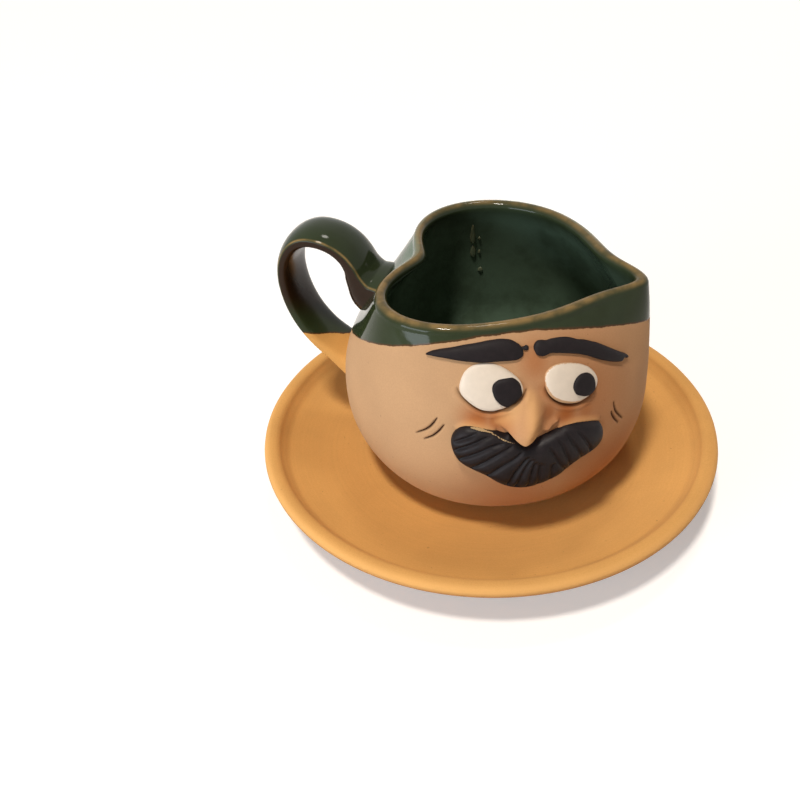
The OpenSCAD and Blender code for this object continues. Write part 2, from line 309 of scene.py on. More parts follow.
def sight_on_wall(wall, pixels, out=0.0):
    """Angle and height at which lines of sight through pixels of the photograph meet the cup's outside, or a
    surface that stands out from it by one height or by one for each pixel."""
    right, up, back = camera_axes()
    eye = VIEW_TARGET + back * VIEW_DISTANCE
    pixels = np.atleast_2d(np.asarray(pixels, float))
    out = np.reshape(out, (-1, 1))
    across = (pixels[:, :1] - FRAME_WIDTH / 2) / VIEW_FOCAL
    down = (pixels[:, 1:] - FRAME_HEIGHT / 2) / VIEW_FOCAL
    ray = across * right - down * up - back

    def outside(distance):
        p = eye + ray[:, None, :] * distance[..., None]
        x, y = p[..., 0] - wall.size.off_x, p[..., 1] - wall.size.off_y
        t = np.degrees(np.arctan2(y, x))
        return np.hypot(x, y) - wall.radius(t, p[..., 2]) - out, t, p[..., 2]

    reach = np.linspace(0.5, 1.4, 451) * VIEW_DISTANCE
    first = np.argmax(outside(np.broadcast_to(reach, (len(pixels), len(reach))))[0] < 0, axis=1)
    if (first == 0).any():
        raise RuntimeError("a line of sight misses the cup")
    low, high = reach[first - 1], reach[first]
    for _ in range(24):
        middle = (low + high) / 2
        free = outside(middle[:, None])[0][:, 0] > 0
        low, high = np.where(free, middle, low), np.where(free, high, middle)
    _, t, z = outside(high[:, None])
    return np.stack([t[:, 0], z[:, 0]], -1)


def smooth_line(points, steps, closed=False):
    """A smooth curve through points, with the given number of steps between neighbours."""
    p = np.asarray(points, float)
    if closed:
        here, before, after, later = p, np.roll(p, 1, 0), np.roll(p, -1, 0), np.roll(p, -2, 0)
    else:
        here, before, after, later = p[:-1], np.vstack([p[:1], p[:-2]]), p[1:], np.vstack([p[2:], p[-1:]])
    s = np.linspace(0, 1, steps, endpoint=False)[:, None, None]
    curve = 0.5 * (
        2 * here
        + (after - before) * s
        + (2 * before - 5 * here + 4 * after - later) * s**2
        + (3 * here - before - 3 * after + later) * s**3
    )
    curve = curve.transpose(1, 0, 2).reshape(-1, p.shape[1])
    return curve if closed else np.vstack([curve, p[-1:]])


def spread(line, shares, flat=np.asarray):
    """Points at shares of a line's length, measured on the line laid out flat."""
    run = np.concatenate([[0], np.cumsum(np.linalg.norm(np.diff(flat(line), axis=0), axis=1))])
    return np.stack([np.interp(shares * run[-1], run, column) for column in line.T], -1)


def smooth_loop(points, count):
    """A closed smooth curve through points, as count points at even spacing."""
    curve = smooth_line(points, 16, closed=True)
    return spread(np.vstack([curve, curve[:1]]), np.linspace(0, 1, count, endpoint=False))


def depth_inside(loop, points):
    """Smooth distance from points inside a loop to its edge.

    It is true near the edge, and has no ridge further in.
    """
    edge = loop[None] - points[:, None]
    far = np.linalg.norm(edge, axis=2) + 1e-9
    other, other_far = np.roll(edge, -1, 1), np.roll(far, -1, 1)
    cross = edge[..., 0] * other[..., 1] - edge[..., 1] * other[..., 0]
    dot = (edge * other).sum(2)
    half_angle = (far * other_far - dot) / np.where(np.abs(cross) < 1e-9, 1e-9, cross)
    total = ((1 / far + 1 / other_far) * half_angle).sum(1)
    return 2 / np.maximum(np.abs(total), 1e-6)


def inside_loop(loop, points):
    """True for points inside a loop."""
    a, b = loop, np.roll(loop, -1, 0)
    x, y = points[:, :1], points[:, 1:]
    crosses = (a[:, 1] > y) != (b[:, 1] > y)
    rise = np.where(b[:, 1] == a[:, 1], 1e-9, b[:, 1] - a[:, 1])
    at = (b[:, 0] - a[:, 0]) * (y - a[:, 1]) / rise + a[:, 0]
    return ((crosses & (x < at)).sum(1) % 2) == 1


def distance_to_line(points, line):
    """Distance from points to a broken line, and how far along it, from 0 to 1, the nearest place lies."""
    a, b = line[:-1], line[1:]
    run = b - a
    size = np.maximum((run**2).sum(1), 1e-12)
    share = np.clip(((points[:, None] - a) * run).sum(2) / size, 0, 1)
    gap = np.linalg.norm(points[:, None] - (a + run * share[..., None]), axis=2)
    nearest = gap.argmin(1)
    rows = np.arange(len(points))
    return gap[rows, nearest], (nearest + share[rows, nearest]) / len(a)


def taper(along, power=0.5):
    """1 in the middle of a line, and 0 at both ends."""
    return np.clip(4 * along * (1 - along), 0, 1) ** power


def stroke(points, line, half_width):
    """A tool's stroke along a line: 1 in its middle, 0 away from it, and drawn out thin at both ends."""
    gap, along = distance_to_line(points, line)
    full = taper(along, 0.4)
    return bell(gap, half_width * (0.35 + 0.65 * full)) * (0.3 + 0.7 * full)


# Meshes


def skin(rings, first, last):
    """Points and faces of a closed skin of rings, with a pole point before the first and after the last."""
    count, around = len(rings), len(rings[0])
    points = np.vstack([first, np.concatenate(rings), last])
    near = 1 + np.arange(around)
    far = 1 + near % around
    step = around * np.arange(count - 1)[:, None]
    bands = np.stack([near + step, far + step, far + step + around, near + step + around], -1)
    top, end = around * (count - 1), np.full(around, len(points) - 1)
    faces = np.stack([0 * near, far, near], -1).tolist() + bands.reshape(-1, 4).tolist()
    return points, faces + np.stack([end, near + top, far + top], -1).tolist()


def vertex_places(mesh):
    """Places of a mesh's points, in metres."""
    places = np.zeros(len(mesh.vertices) * 3)
    mesh.vertices.foreach_get("co", places)
    return places.reshape(-1, 3)


def store_fields(mesh, fields):
    """Stores a number on each point of a mesh for each name."""
    for name, values in fields.items():
        attribute = mesh.attributes.new(name, "FLOAT", "POINT")
        attribute.data.foreach_set("value", np.asarray(values, np.float32))


def turn_outwards(mesh):
    """Flips a closed mesh whose faces point inwards."""
    mesh.calc_loop_triangles()
    index = np.zeros(len(mesh.loop_triangles) * 3, int)
    mesh.loop_triangles.foreach_get("vertices", index)
    a, b, c = vertex_places(mesh)[index.reshape(-1, 3).T]
    if (np.cross(a, b) * c).sum() < 0:
        mesh.flip_normals()


def new_object(name, data):
    """Makes an object and links it into the scene."""
    made = bpy.data.objects.new(name, data)
    bpy.context.scene.collection.objects.link(made)
    return made


def make_piece(name, points, faces, material, fields):
    """A closed mesh object in place, from millimetres, with fields on its points."""
    mesh = bpy.data.meshes.new(name)
    mesh.from_pydata((np.asarray(points) * METRES).tolist(), [], faces)
    store_fields(mesh, fields)
    mesh.polygons.foreach_set("use_smooth", np.ones(len(mesh.polygons), bool))
    mesh.update()
    turn_outwards(mesh)
    mesh.materials.append(material)
    return new_object(name, mesh)


def hand_over(piece, body, node=None):
    """Attaches a finished piece to what it rides on, and hides the solid that it stands for, if any."""
    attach(piece, body)
    if node:
        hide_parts(node)


# Places measured in the photograph, in pixels. Each list is an outline or a drawn line, most of them on a
# crop of the picture, which starts at a corner and is enlarged.


def from_crop(corner, enlarged, points):
    return np.asarray(points, float) / enlarged + corner


on_eyes = partial(from_crop, (445, 330), 15.68)
on_spout_eye = partial(from_crop, (540, 330), 15.68)
on_moustache = partial(from_crop, (440, 420), 9.2235)
on_comb = partial(from_crop, (445, 420), 10.0)

HANDLE_EYE = on_eyes([
    (222, 900), (232, 830), (262, 740), (312, 650), (392, 580), (500, 537), (620, 520), (740, 528),
    (850, 562), (950, 612), (1050, 680), (1140, 755), (1195, 830), (1225, 910), (1225, 980), (1190, 1050),
    (1120, 1110), (1040, 1165), (940, 1220), (800, 1262), (700, 1272), (590, 1258), (480, 1210),
    (370, 1130), (280, 1045), (238, 975),
])
HANDLE_PUPIL = on_eyes([
    (738, 940), (745, 880), (775, 830), (840, 785), (920, 765), (1000, 752), (1060, 745), (1120, 775),
    (1170, 830), (1195, 890), (1205, 950), (1215, 1010), (1180, 1060), (1120, 1120), (1040, 1175),
    (980, 1215), (930, 1195), (870, 1165), (810, 1110), (770, 1050), (750, 990),
])
HANDLE_LID = on_eyes([
    (185, 895), (215, 985), (285, 1080), (380, 1160), (480, 1225), (595, 1277), (700, 1290), (800, 1280),
    (940, 1235), (1040, 1185), (1130, 1125), (1215, 1040), (1250, 975), (1275, 912),
])
HANDLE_BROW = on_eyes([
    (-304, 373), (-219, 330), (-99, 302), (0, 288), (150, 265), (300, 235), (450, 213), (560, 194),
    (650, 175), (750, 160), (850, 148), (950, 150), (1040, 166), (1110, 200), (1170, 240), (1215, 290),
    (1232, 340), (1228, 390), (1190, 440), (1120, 473), (1020, 485), (900, 492), (780, 500), (650, 510),
    (540, 512), (430, 500), (300, 488), (150, 465), (0, 436), (-69, 425), (-149, 411), (-219, 397),
])
HANDLE_BROW_KNOB = on_eyes([
    (1205, 270), (1240, 262), (1275, 243), (1312, 262), (1310, 300), (1275, 320), (1240, 308), (1205, 308),
])
SPOUT_EYE = on_spout_eye([
    (80, 760), (92, 690), (140, 620), (220, 560), (320, 525), (430, 512), (540, 515), (640, 530),
    (740, 565), (820, 620), (875, 690), (900, 760), (895, 840), (868, 910), (800, 1000), (720, 1062),
    (620, 1125), (530, 1148), (430, 1152), (330, 1136), (240, 1098), (160, 1035), (105, 940), (85, 840),
])
SPOUT_EYE_WHITE = on_spout_eye([
    (80, 760), (92, 690), (140, 620), (220, 560), (320, 525), (430, 512), (540, 515), (640, 530),
    (740, 565), (820, 620), (875, 690), (900, 760), (890, 850), (850, 930), (780, 990), (700, 1035),
    (600, 1078), (500, 1092), (400, 1085), (300, 1058), (200, 1010), (135, 930), (95, 840),
])
SPOUT_PUPIL = on_spout_eye([
    (525, 890), (535, 830), (570, 760), (620, 705), (680, 675), (740, 668), (800, 690), (840, 735),
    (858, 790), (862, 850), (855, 920), (820, 970), (760, 1020), (700, 1035), (640, 1030), (590, 1020),
    (555, 990), (532, 940),
])
SPOUT_LID = on_spout_eye([
    (80, 890), (110, 965), (165, 1050), (240, 1112), (330, 1152), (430, 1168), (530, 1162), (620, 1138),
    (720, 1075), (800, 1012), (872, 920),
])
SPOUT_BROW = on_spout_eye([
    (-95, 290), (-82, 230), (-40, 180), (30, 165), (100, 168), (180, 145), (280, 125), (400, 115),
    (500, 125), (600, 150), (700, 155), (820, 180), (920, 205), (1040, 250), (1150, 295), (1250, 335),
    (1330, 360), (1375, 385), (1390, 420), (1360, 440), (1318, 430), (1300, 452), (1280, 488), (1230, 500),
    (1100, 495), (980, 475), (850, 440), (740, 405), (620, 380), (480, 370), (330, 365), (180, 365),
    (120, 385), (80, 408), (20, 415), (-40, 400), (-72, 355),
])
MOUSTACHE = on_moustache([
    (97, 195), (105, 150), (135, 108), (170, 76), (220, 58), (270, 54), (320, 60), (380, 73), (440, 90),
    (470, 97), (526, 111), (575, 127), (609, 131), (636, 122), (664, 138), (692, 168), (729, 202),
    (775, 216), (832, 205), (890, 180), (950, 150), (1010, 122), (1060, 98), (1105, 76), (1150, 50),
    (1220, 26), (1300, 12), (1400, 6), (1465, 10), (1486, 40), (1492, 80), (1488, 125), (1468, 172),
    (1428, 222), (1375, 268), (1310, 308), (1240, 352), (1180, 400), (1120, 455), (1060, 497), (980, 538),
    (900, 570), (820, 594), (740, 604), (660, 599), (590, 584), (520, 555), (450, 512), (380, 474),
    (310, 444), (250, 414), (200, 385), (160, 348), (130, 302), (108, 248),
])
COMBED = [on_comb(points) for points in (
    [(345, 118), (250, 172), (95, 222)],
    [(530, 150), (400, 190), (280, 240), (85, 310)],
    [(610, 228), (470, 264), (330, 325), (150, 390)],
    [(720, 240), (600, 300), (480, 370), (270, 480)],
    [(800, 290), (690, 385), (580, 450), (430, 550)],
    [(855, 330), (765, 440), (690, 540), (630, 640)],
    [(885, 360), (800, 470), (715, 650)],
    [(905, 385), (870, 510), (825, 655)],
    [(950, 400), (938, 520), (925, 650)],
    [(1085, 400), (1065, 480), (1040, 600)],
    [(1010, 240), (1075, 330), (1130, 420), (1215, 500)],
    [(1110, 160), (1165, 240), (1205, 340), (1250, 440)],
    [(1195, 90), (1235, 160), (1290, 250), (1365, 365)],
    [(1290, 60), (1340, 120), (1400, 200), (1450, 290)],
)]
CHEEK_LINES = [
    on_spout_eye([(1160, 1120), (1175, 1200), (1195, 1270), (1240, 1330), (1300, 1385)]),
    on_spout_eye([(1122, 1270), (1140, 1330), (1180, 1400), (1230, 1450)]),
    np.array([(437.0, 418.0), (431.8, 425.0), (425.5, 429.6), (415.8, 432.8)]),
    np.array([(444.2, 424.8), (438.5, 431.5), (432.2, 436.2), (423.6, 439.2)]),
]
GLAZE_EDGE = np.array([
    (352, 337), (360, 339), (390, 342), (415, 343), (440, 342), (480, 339), (520, 335), (560, 332),
    (600, 327), (648, 319),
])
MOUSTACHE_SEAMS = [
    on_moustache([(150, 90), (215, 48), (280, 40), (360, 52), (440, 74), (510, 98)]),
    on_moustache([(1085, 72), (1150, 40), (1220, 16), (1300, 2), (1400, -4), (1465, 4)]),
]
# The moustache's upper edge and front, where slip is rubbed off and a highlight is painted
MOUSTACHE_WORN_AND_LIT = [
    (470.0, 427.6), (475.0, 427.4), (480.0, 428.7), (485.0, 430.0), (490.0, 431.6), (497.0, 435.0),
    (501.0, 437.8), (509.0, 441.0), (513.0, 443.0), (517.5, 444.8),
]
# Each point of the nose's ridge and hem has, after its place, its share of the tip's height
NOSE_RIDGE = [
    (531.0, 378.0, 0.0), (531.2, 386.0, 0.03), (531.8, 394.0, 0.1), (533.2, 402.0, 0.24),
    (534.2, 411.0, 0.46), (534.2, 421.0, 0.7), (532.0, 431.0, 0.9), (529.0, 438.5, 1.0),
    (526.0, 446.0, 1.0),
]
NOSE_HEM = [
    (503.0, 427.0, 0.1), (508.5, 430.5, 0.28), (514.0, 436.5, 0.5), (518.2, 441.5, 0.72),
    (522.4, 445.4, 0.92), (525.6, 446.4, 1.0), (529.0, 444.6, 0.97), (535.1, 441.4, 0.86),
    (543.5, 436.3, 0.62), (549.1, 432.4, 0.42), (555.0, 428.0, 0.28), (562.0, 424.0, 0.1),
]
NOSE_WING = [(547.5, 429.0), (551.5, 424.0), (557.0, 420.8)]
NOSE_OUTLINE = np.array([
    (530, 366), (536, 372), (542, 384), (548, 394), (556, 403), (564, 411), (570, 419), (566, 425),
    (556, 428), (548, 431), (540, 434), (532, 437), (525, 438.5), (518, 437), (512, 434), (506, 430.5),
    (500, 427), (495, 423), (494, 416), (502, 407), (510, 396), (516, 385), (521, 375), (525, 368),
])


# Finishes


def add_node(tree, kind, inputs=(), **options):
    """Adds a node with its settings and links.

    Its inputs, given in order or by name, are values, nodes or outputs.
    """
    made = tree.nodes.new(kind)
    for name, value in options.items():
        setattr(made, name, value)
    in_use = [socket for socket in made.inputs if socket.enabled]
    for key, value in inputs.items() if isinstance(inputs, dict) else enumerate(inputs):
        socket = made.inputs[key] if isinstance(key, str) else in_use[key]
        if isinstance(value, bpy.types.Node):
            value = next(output for output in value.outputs if output.enabled)
        if isinstance(value, bpy.types.NodeSocket):
            tree.links.new(value, socket)
        else:
            socket.default_value = value
    return made


def new_material(name):
    """An empty material, and add_node for its tree."""
    material = bpy.data.materials.new(name)
    material.use_nodes = True
    material.node_tree.nodes.clear()
    return material, partial(add_node, material.node_tree)


def rgba(colour_value, share=1.0):
    return (*(c * share for c in colour_value), 1.0)


def bare_clay(node, clay):
    """Colour, roughness and grain of fired bare clay: fine grain, slow blushes from the kiln, rare specks."""
    place = node("ShaderNodeTexCoord").outputs["Object"]
    # Blushes, grain and specks, by feature in millimetres and detail
    blush, grain, specks = (
        node(
            "ShaderNodeTexNoise",
            {"Vector": place, "Scale": 1 / (feature * METRES), "Detail": detail, "Roughness": 0.55},
        )
        for feature, detail in ((14.0, 2), (0.35, 4), (1.1, 1))
    )
    tone = rgba(clay)
    # Where each begins and is full, its share of the colour there, and its shade of the clay
    for pattern, low, high, full, shade in (
        (blush, 0.35, 0.7, 0.35, 0.82), (grain, 0.3, 0.7, 0.16, 0.62), (specks, 0.76, 0.82, 0.5, 0.45),
    ):
        share = node("ShaderNodeMapRange", (pattern, low, high, 0.0, full), interpolation_type="SMOOTHSTEP")
        tone = node("ShaderNodeMix", (share, tone, rgba(clay, shade)), data_type="RGBA")
    rough = node("ShaderNodeMapRange", (grain, 0.3, 0.7, 0.7, 0.85), interpolation_type="SMOOTHSTEP")
    return tone, rough, grain


def dipped_clay(name, bare, shine=1.24):
    """Fired clay whose upper part was dipped in a green lead glaze.

    The glaze is glassy: dark where it lies thick on the outside, a lighter bluer green deep in the bowl that
    is partly a painted reflection, and olive and brown where it breaks over the lip and over edges. The bare
    clay is dull and fine-grained. The field dip says how many millimetres a point lies above the glaze line,
    thin how much the glaze breaks there, wash how brown the clay is, partly from an iron wash and partly
    painted shade, pale how much highlight is painted on it, and dark how much shade is painted in
    its creases and on the strap's inner side.
    """
    look = settings().finishes
    material, node = new_material(name)
    dip, thin, wash, pale, dark = (
        node("ShaderNodeAttribute", attribute_name=field).outputs["Fac"]
        for field in ("dip", "thin", "wash", "pale", "dark")
    )
    place = node("ShaderNodeTexCoord").outputs["Object"]
    # How the glaze drifts, breaks and clouds, by feature in millimetres and detail
    drift, fine, clouds = (
        node(
            "ShaderNodeTexNoise",
            {"Vector": place, "Scale": 1 / (feature * METRES), "Detail": detail, "Roughness": 0.55},
        )
        for feature, detail in ((4.0, 3), (0.7, 2), (9.0, 3))
    )
    # The edge strays by up to half a millimetre, and a brown hem runs along it
    line = node("ShaderNodeMath", (drift, 0.7, dip), operation="MULTIPLY_ADD")
    line = node("ShaderNodeMath", (fine, 0.3, line), operation="MULTIPLY_ADD")
    glazed = node("ShaderNodeMapRange", (line, 0.42, 0.58), interpolation_type="SMOOTHSTEP")
    hem = node("ShaderNodeMapRange", (line, 0.55, 1.1, 0.6, 0.0), interpolation_type="SMOOTHSTEP")
    # Deep in the bowl the glaze turns lighter and bluer: partly its own colour, partly a painted reflection
    pool_and_reflection = node("ShaderNodeMapRange", (dip, 14, 19, 0.1, 0.85), interpolation_type="SMOOTHSTEP")
    cloudy = node("ShaderNodeMapRange", (clouds, 0.3, 0.6, 0.6, 1.0), interpolation_type="SMOOTHSTEP")
    pool_and_reflection = node("ShaderNodeMath", (pool_and_reflection, cloudy), operation="MULTIPLY")
    broken = node("ShaderNodeMapRange", (drift, 0.3, 0.65, 0.35, 1.0), interpolation_type="SMOOTHSTEP")
    thin = node("ShaderNodeMath", (thin, broken), operation="MULTIPLY")

    clay, clay_rough, grain = bare_clay(node, bare)
    # Over the bare clay: the iron wash, partly painted shade, and the painted highlight
    for share, tint in ((wash, rgba(look.clay_wash)), (pale, rgba(look.clay_pale))):
        clay = node("ShaderNodeMix", (share, clay, tint), data_type="RGBA")
    green = rgba(look.glaze)
    for share, tint in (
        (pool_and_reflection, rgba(look.glaze_pool)), (thin, rgba(look.glaze_thin)), (hem, rgba(look.clay_wash, 0.3)),
    ):
        green = node("ShaderNodeMix", (share, green, tint), data_type="RGBA")
    tone = node("ShaderNodeMix", (glazed, clay, green), data_type="RGBA")
    # Painted shade in the cut lines, the lids' creases and on the strap's inner side
    tone = node("ShaderNodeMix", (dark, tone, rgba(look.cut_line)), data_type="RGBA")

    rough = node("ShaderNodeMath", (glazed, -0.89, 1.0), operation="MULTIPLY_ADD")
    rough = node("ShaderNodeMath", (rough, clay_rough), operation="MULTIPLY")
    rough = node("ShaderNodeMath", (dark, 0.2, rough), operation="MULTIPLY_ADD")
    # Pores in the bare clay, and over it a smooth glaze with slow waves
    glaze = node("ShaderNodeMath", (clouds, 1.5, 2.5), operation="MULTIPLY_ADD")
    glaze = node("ShaderNodeMath", (glaze, grain), operation="SUBTRACT")
    height = node("ShaderNodeMath", (glazed, glaze, grain), operation="MULTIPLY_ADD")
    bump = node("ShaderNodeBump", {"Height": height, "Strength": 0.5, "Distance": 0.05 * METRES})
    surface = {"Base Color": tone, "Roughness": rough, "Normal": bump, "IOR": shine}
    node("ShaderNodeOutputMaterial", [node("ShaderNodeBsdfPrincipled", surface)])
    return material


def terracotta(name):
    """Terracotta turned on a wheel and left unglazed.

    It is a dull orange clay with faint rings from the turning tool, a few dark iron specks and a paler edge,
    partly rubbed and partly a painted highlight. The field edge says where it is paler, and under where shade
    is painted on the rim's underside, darker and browner.
    """
    base = settings().finishes.terracotta
    material, node = new_material(name)
    tone, rough, grain = bare_clay(node, base)
    apart = node("ShaderNodeSeparateXYZ", [node("ShaderNodeTexCoord").outputs["Object"]]).outputs
    flat = node("ShaderNodeCombineXYZ", (apart[0], apart[1]))
    radius = node("ShaderNodeVectorMath", [flat], operation="LENGTH")
    way = node("ShaderNodeMath", (apart[2], 0.7, radius), operation="MULTIPLY_ADD")
    # The tool's rings are 0.9 mm apart
    turned = {"W": way, "Scale": 1 / (0.9 * METRES), "Detail": 3.0}
    rings = node("ShaderNodeTexNoise", turned, noise_dimensions="1D")
    ringed = node("ShaderNodeMapRange", (rings, 0.35, 0.7, 0.0, 0.1), interpolation_type="SMOOTHSTEP")
    edge = node("ShaderNodeAttribute", attribute_name="edge").outputs["Fac"]
    under = node("ShaderNodeAttribute", attribute_name="under").outputs["Fac"]
    # A paler edge, partly rubbed and partly a painted highlight, and painted shade under the rim
    paler_tone = [min(1.0, c * 1.12 + 0.02) for c in base]
    shaded = [base[0] * 0.5, base[1] * 0.36, base[2] * 0.3]
    for share, tint in ((ringed, rgba(base, 0.7)), (edge, rgba(paler_tone)), (under, rgba(shaded))):
        tone = node("ShaderNodeMix", (share, tone, tint), data_type="RGBA")
    rough = node("ShaderNodeMath", (rough, 0.12), operation="ADD")
    height = node("ShaderNodeMath", (rings, 0.8, grain), operation="MULTIPLY_ADD")
    bump = node("ShaderNodeBump", {"Height": height, "Strength": 0.45, "Distance": 0.06 * METRES})
    surface = {"Base Color": tone, "Roughness": rough, "Normal": bump}
    node("ShaderNodeOutputMaterial", [node("ShaderNodeBsdfPrincipled", surface)])
    return material


def slip_paint(name, paint, clay, roughness, mottle, shine):
    """Coloured slip brushed over raw clay and fired.

    It is thin and slightly satin, with faint brush marks. The field bare says where the clay shows through,
    which on the moustache is partly a painted highlight.
    """
    material, node = new_material(name)
    place = node("ShaderNodeTexCoord").outputs["Object"]
    # Brush marks 1.6 mm apart and grain of 0.3 mm
    brush, fine = (
        node(
            "ShaderNodeTexNoise",
            {"Vector": place, "Scale": 1 / (feature * METRES), "Detail": 3.0, "Roughness": 0.55},
        )
        for feature in (1.6, 0.3)
    )
    bare = node("ShaderNodeAttribute", attribute_name="bare").outputs["Fac"]
    worn = node("ShaderNodeMath", (fine, 0.9, bare), operation="MULTIPLY_ADD")
    worn = node("ShaderNodeMapRange", (worn, 0.9, 1.05), interpolation_type="SMOOTHSTEP")
    brushed = node("ShaderNodeMapRange", (brush, 0.35, 0.7), interpolation_type="SMOOTHSTEP")
    tone = node("ShaderNodeMix", (brushed, rgba(paint), rgba(mottle)), data_type="RGBA")
    tone = node("ShaderNodeMix", (worn, tone, rgba(clay)), data_type="RGBA")
    satin = (brush, 0.3, 0.7, roughness - 0.06, roughness + 0.06)
    rough = node("ShaderNodeMapRange", satin, interpolation_type="SMOOTHSTEP")
    bump = node("ShaderNodeBump", {"Height": fine, "Strength": 0.3, "Distance": 0.04 * METRES})
    surface = {"Base Color": tone, "Roughness": rough, "Normal": bump, "IOR": shine}
    node("ShaderNodeOutputMaterial", [node("ShaderNodeBsdfPrincipled", surface)])
    return material


def black_slip(name, roughness):
    look = settings().finishes
    mottle = [c * 1.5 + 0.001 for c in look.black_slip]
    return slip_paint(name, look.black_slip, look.rubbed_slip, roughness, mottle, 1.26)


# Saucer and handle: forms that follow a rule, made with Geometry Nodes


def new_tree(name, output, inputs):
    """A Geometry Nodes tree with its named inputs and output, add_node for it, and what its inputs give."""
    tree = bpy.data.node_groups.new(name, "GeometryNodeTree")
    for label, kind in inputs.items():
        tree.interface.new_socket(name=label, in_out="INPUT", socket_type="NodeSocket" + kind)
    tree.interface.new_socket(name=output, in_out="OUTPUT", socket_type="NodeSocketGeometry")
    node = partial(add_node, tree)
    return tree, node, node("NodeGroupInput").outputs


def grid_on_curve(node, source, given):
    """A grid, the angle round it and the share along it at each of its points, and a line as a curve."""
    grid = node("GeometryNodeMeshGrid", {"Vertices X": given["Around"], "Vertices Y": given["Along"]})
    apart = node("ShaderNodeSeparateXYZ", [node("GeometryNodeInputPosition")]).outputs
    spin = node("ShaderNodeMath", (apart[0], 0.5), operation="ADD")
    spin = node("ShaderNodeMath", (spin, 2 * math.pi), operation="MULTIPLY")
    share = node("ShaderNodeMath", (apart[1], 0.5), operation="ADD")
    return grid, spin, share, node("GeometryNodeMeshToCurve", [source])


def close_tree(node, grid, place, fields, material):
    """Stores the fields on the grid's points, moves them, joins the seams and sets the material."""
    geometry = grid
    store = "GeometryNodeStoreNamedAttribute"
    for kind, inputs in (
        *((store, {"Name": name, "Value": value}) for name, value in fields.items()),
        ("GeometryNodeSetPosition", {"Position": place}),
        ("GeometryNodeMergeByDistance", {"Distance": 0.004 * METRES}),
        ("GeometryNodeSetShadeSmooth", {}),
        ("GeometryNodeRealizeInstances", {}),
        ("GeometryNodeSetMaterial", {"Material": material}),
    ):
        geometry = node(kind, {"Geometry": geometry, **inputs})
    node("NodeGroupOutput", [geometry])


def turned_tree():
    """Turns a half section, drawn in X and Z, round the Z axis, with the slow waver of a wheel."""
    inputs = {"Half section": "Geometry", "Around": "Int", "Along": "Int", "Waver": "Float"}
    tree, node, given = new_tree("turned_form", "Turned form", {**inputs, "Finish": "Material"})
    grid, spin, share, curve = grid_on_curve(node, given["Half section"], given)
    on_curve = {"Curves": curve, "Factor": share}
    section = node("GeometryNodeSampleCurve", on_curve, mode="FACTOR", use_all_curves=True)
    apart = node("ShaderNodeSeparateXYZ", [section.outputs["Position"]]).outputs
    radius, height = apart[0], apart[2]
    around_x = node("ShaderNodeMath", [spin], operation="COSINE")
    around_y = node("ShaderNodeMath", [spin], operation="SINE")
    circle = node("ShaderNodeCombineXYZ", (around_x, around_y))
    # The wheel's waver is full 60 mm out, and below 4 mm it leaves the foot ring flat on the table
    noise = node("ShaderNodeTexNoise", {"Vector": circle, "Scale": 0.9, "Detail": 1.0})
    waver = node("ShaderNodeMath", (noise, 0.5), operation="SUBTRACT")
    waver = node("ShaderNodeMath", (waver, given["Waver"]), operation="MULTIPLY")
    outwards = node("ShaderNodeMath", (radius, 1 / (60 * METRES)), operation="MULTIPLY")
    clear = node("ShaderNodeMath", (height, 4 * METRES), operation="GREATER_THAN")
    outwards = node("ShaderNodeMath", (outwards, clear), operation="MULTIPLY")
    height = node("ShaderNodeMath", (waver, outwards, height), operation="MULTIPLY_ADD")
    x = node("ShaderNodeMath", (radius, around_x), operation="MULTIPLY")
    y = node("ShaderNodeMath", (radius, around_y), operation="MULTIPLY")
    place = node("ShaderNodeCombineXYZ", (x, y, height))
    fields = {}
    for name in ("edge", "under"):
        field = {**on_curve, "Value": node("GeometryNodeInputNamedAttribute", {"Name": name})}
        fields[name] = node("GeometryNodeSampleCurve", field, mode="FACTOR", use_all_curves=True)
    close_tree(node, grid, place, fields, given["Finish"])
    return tree


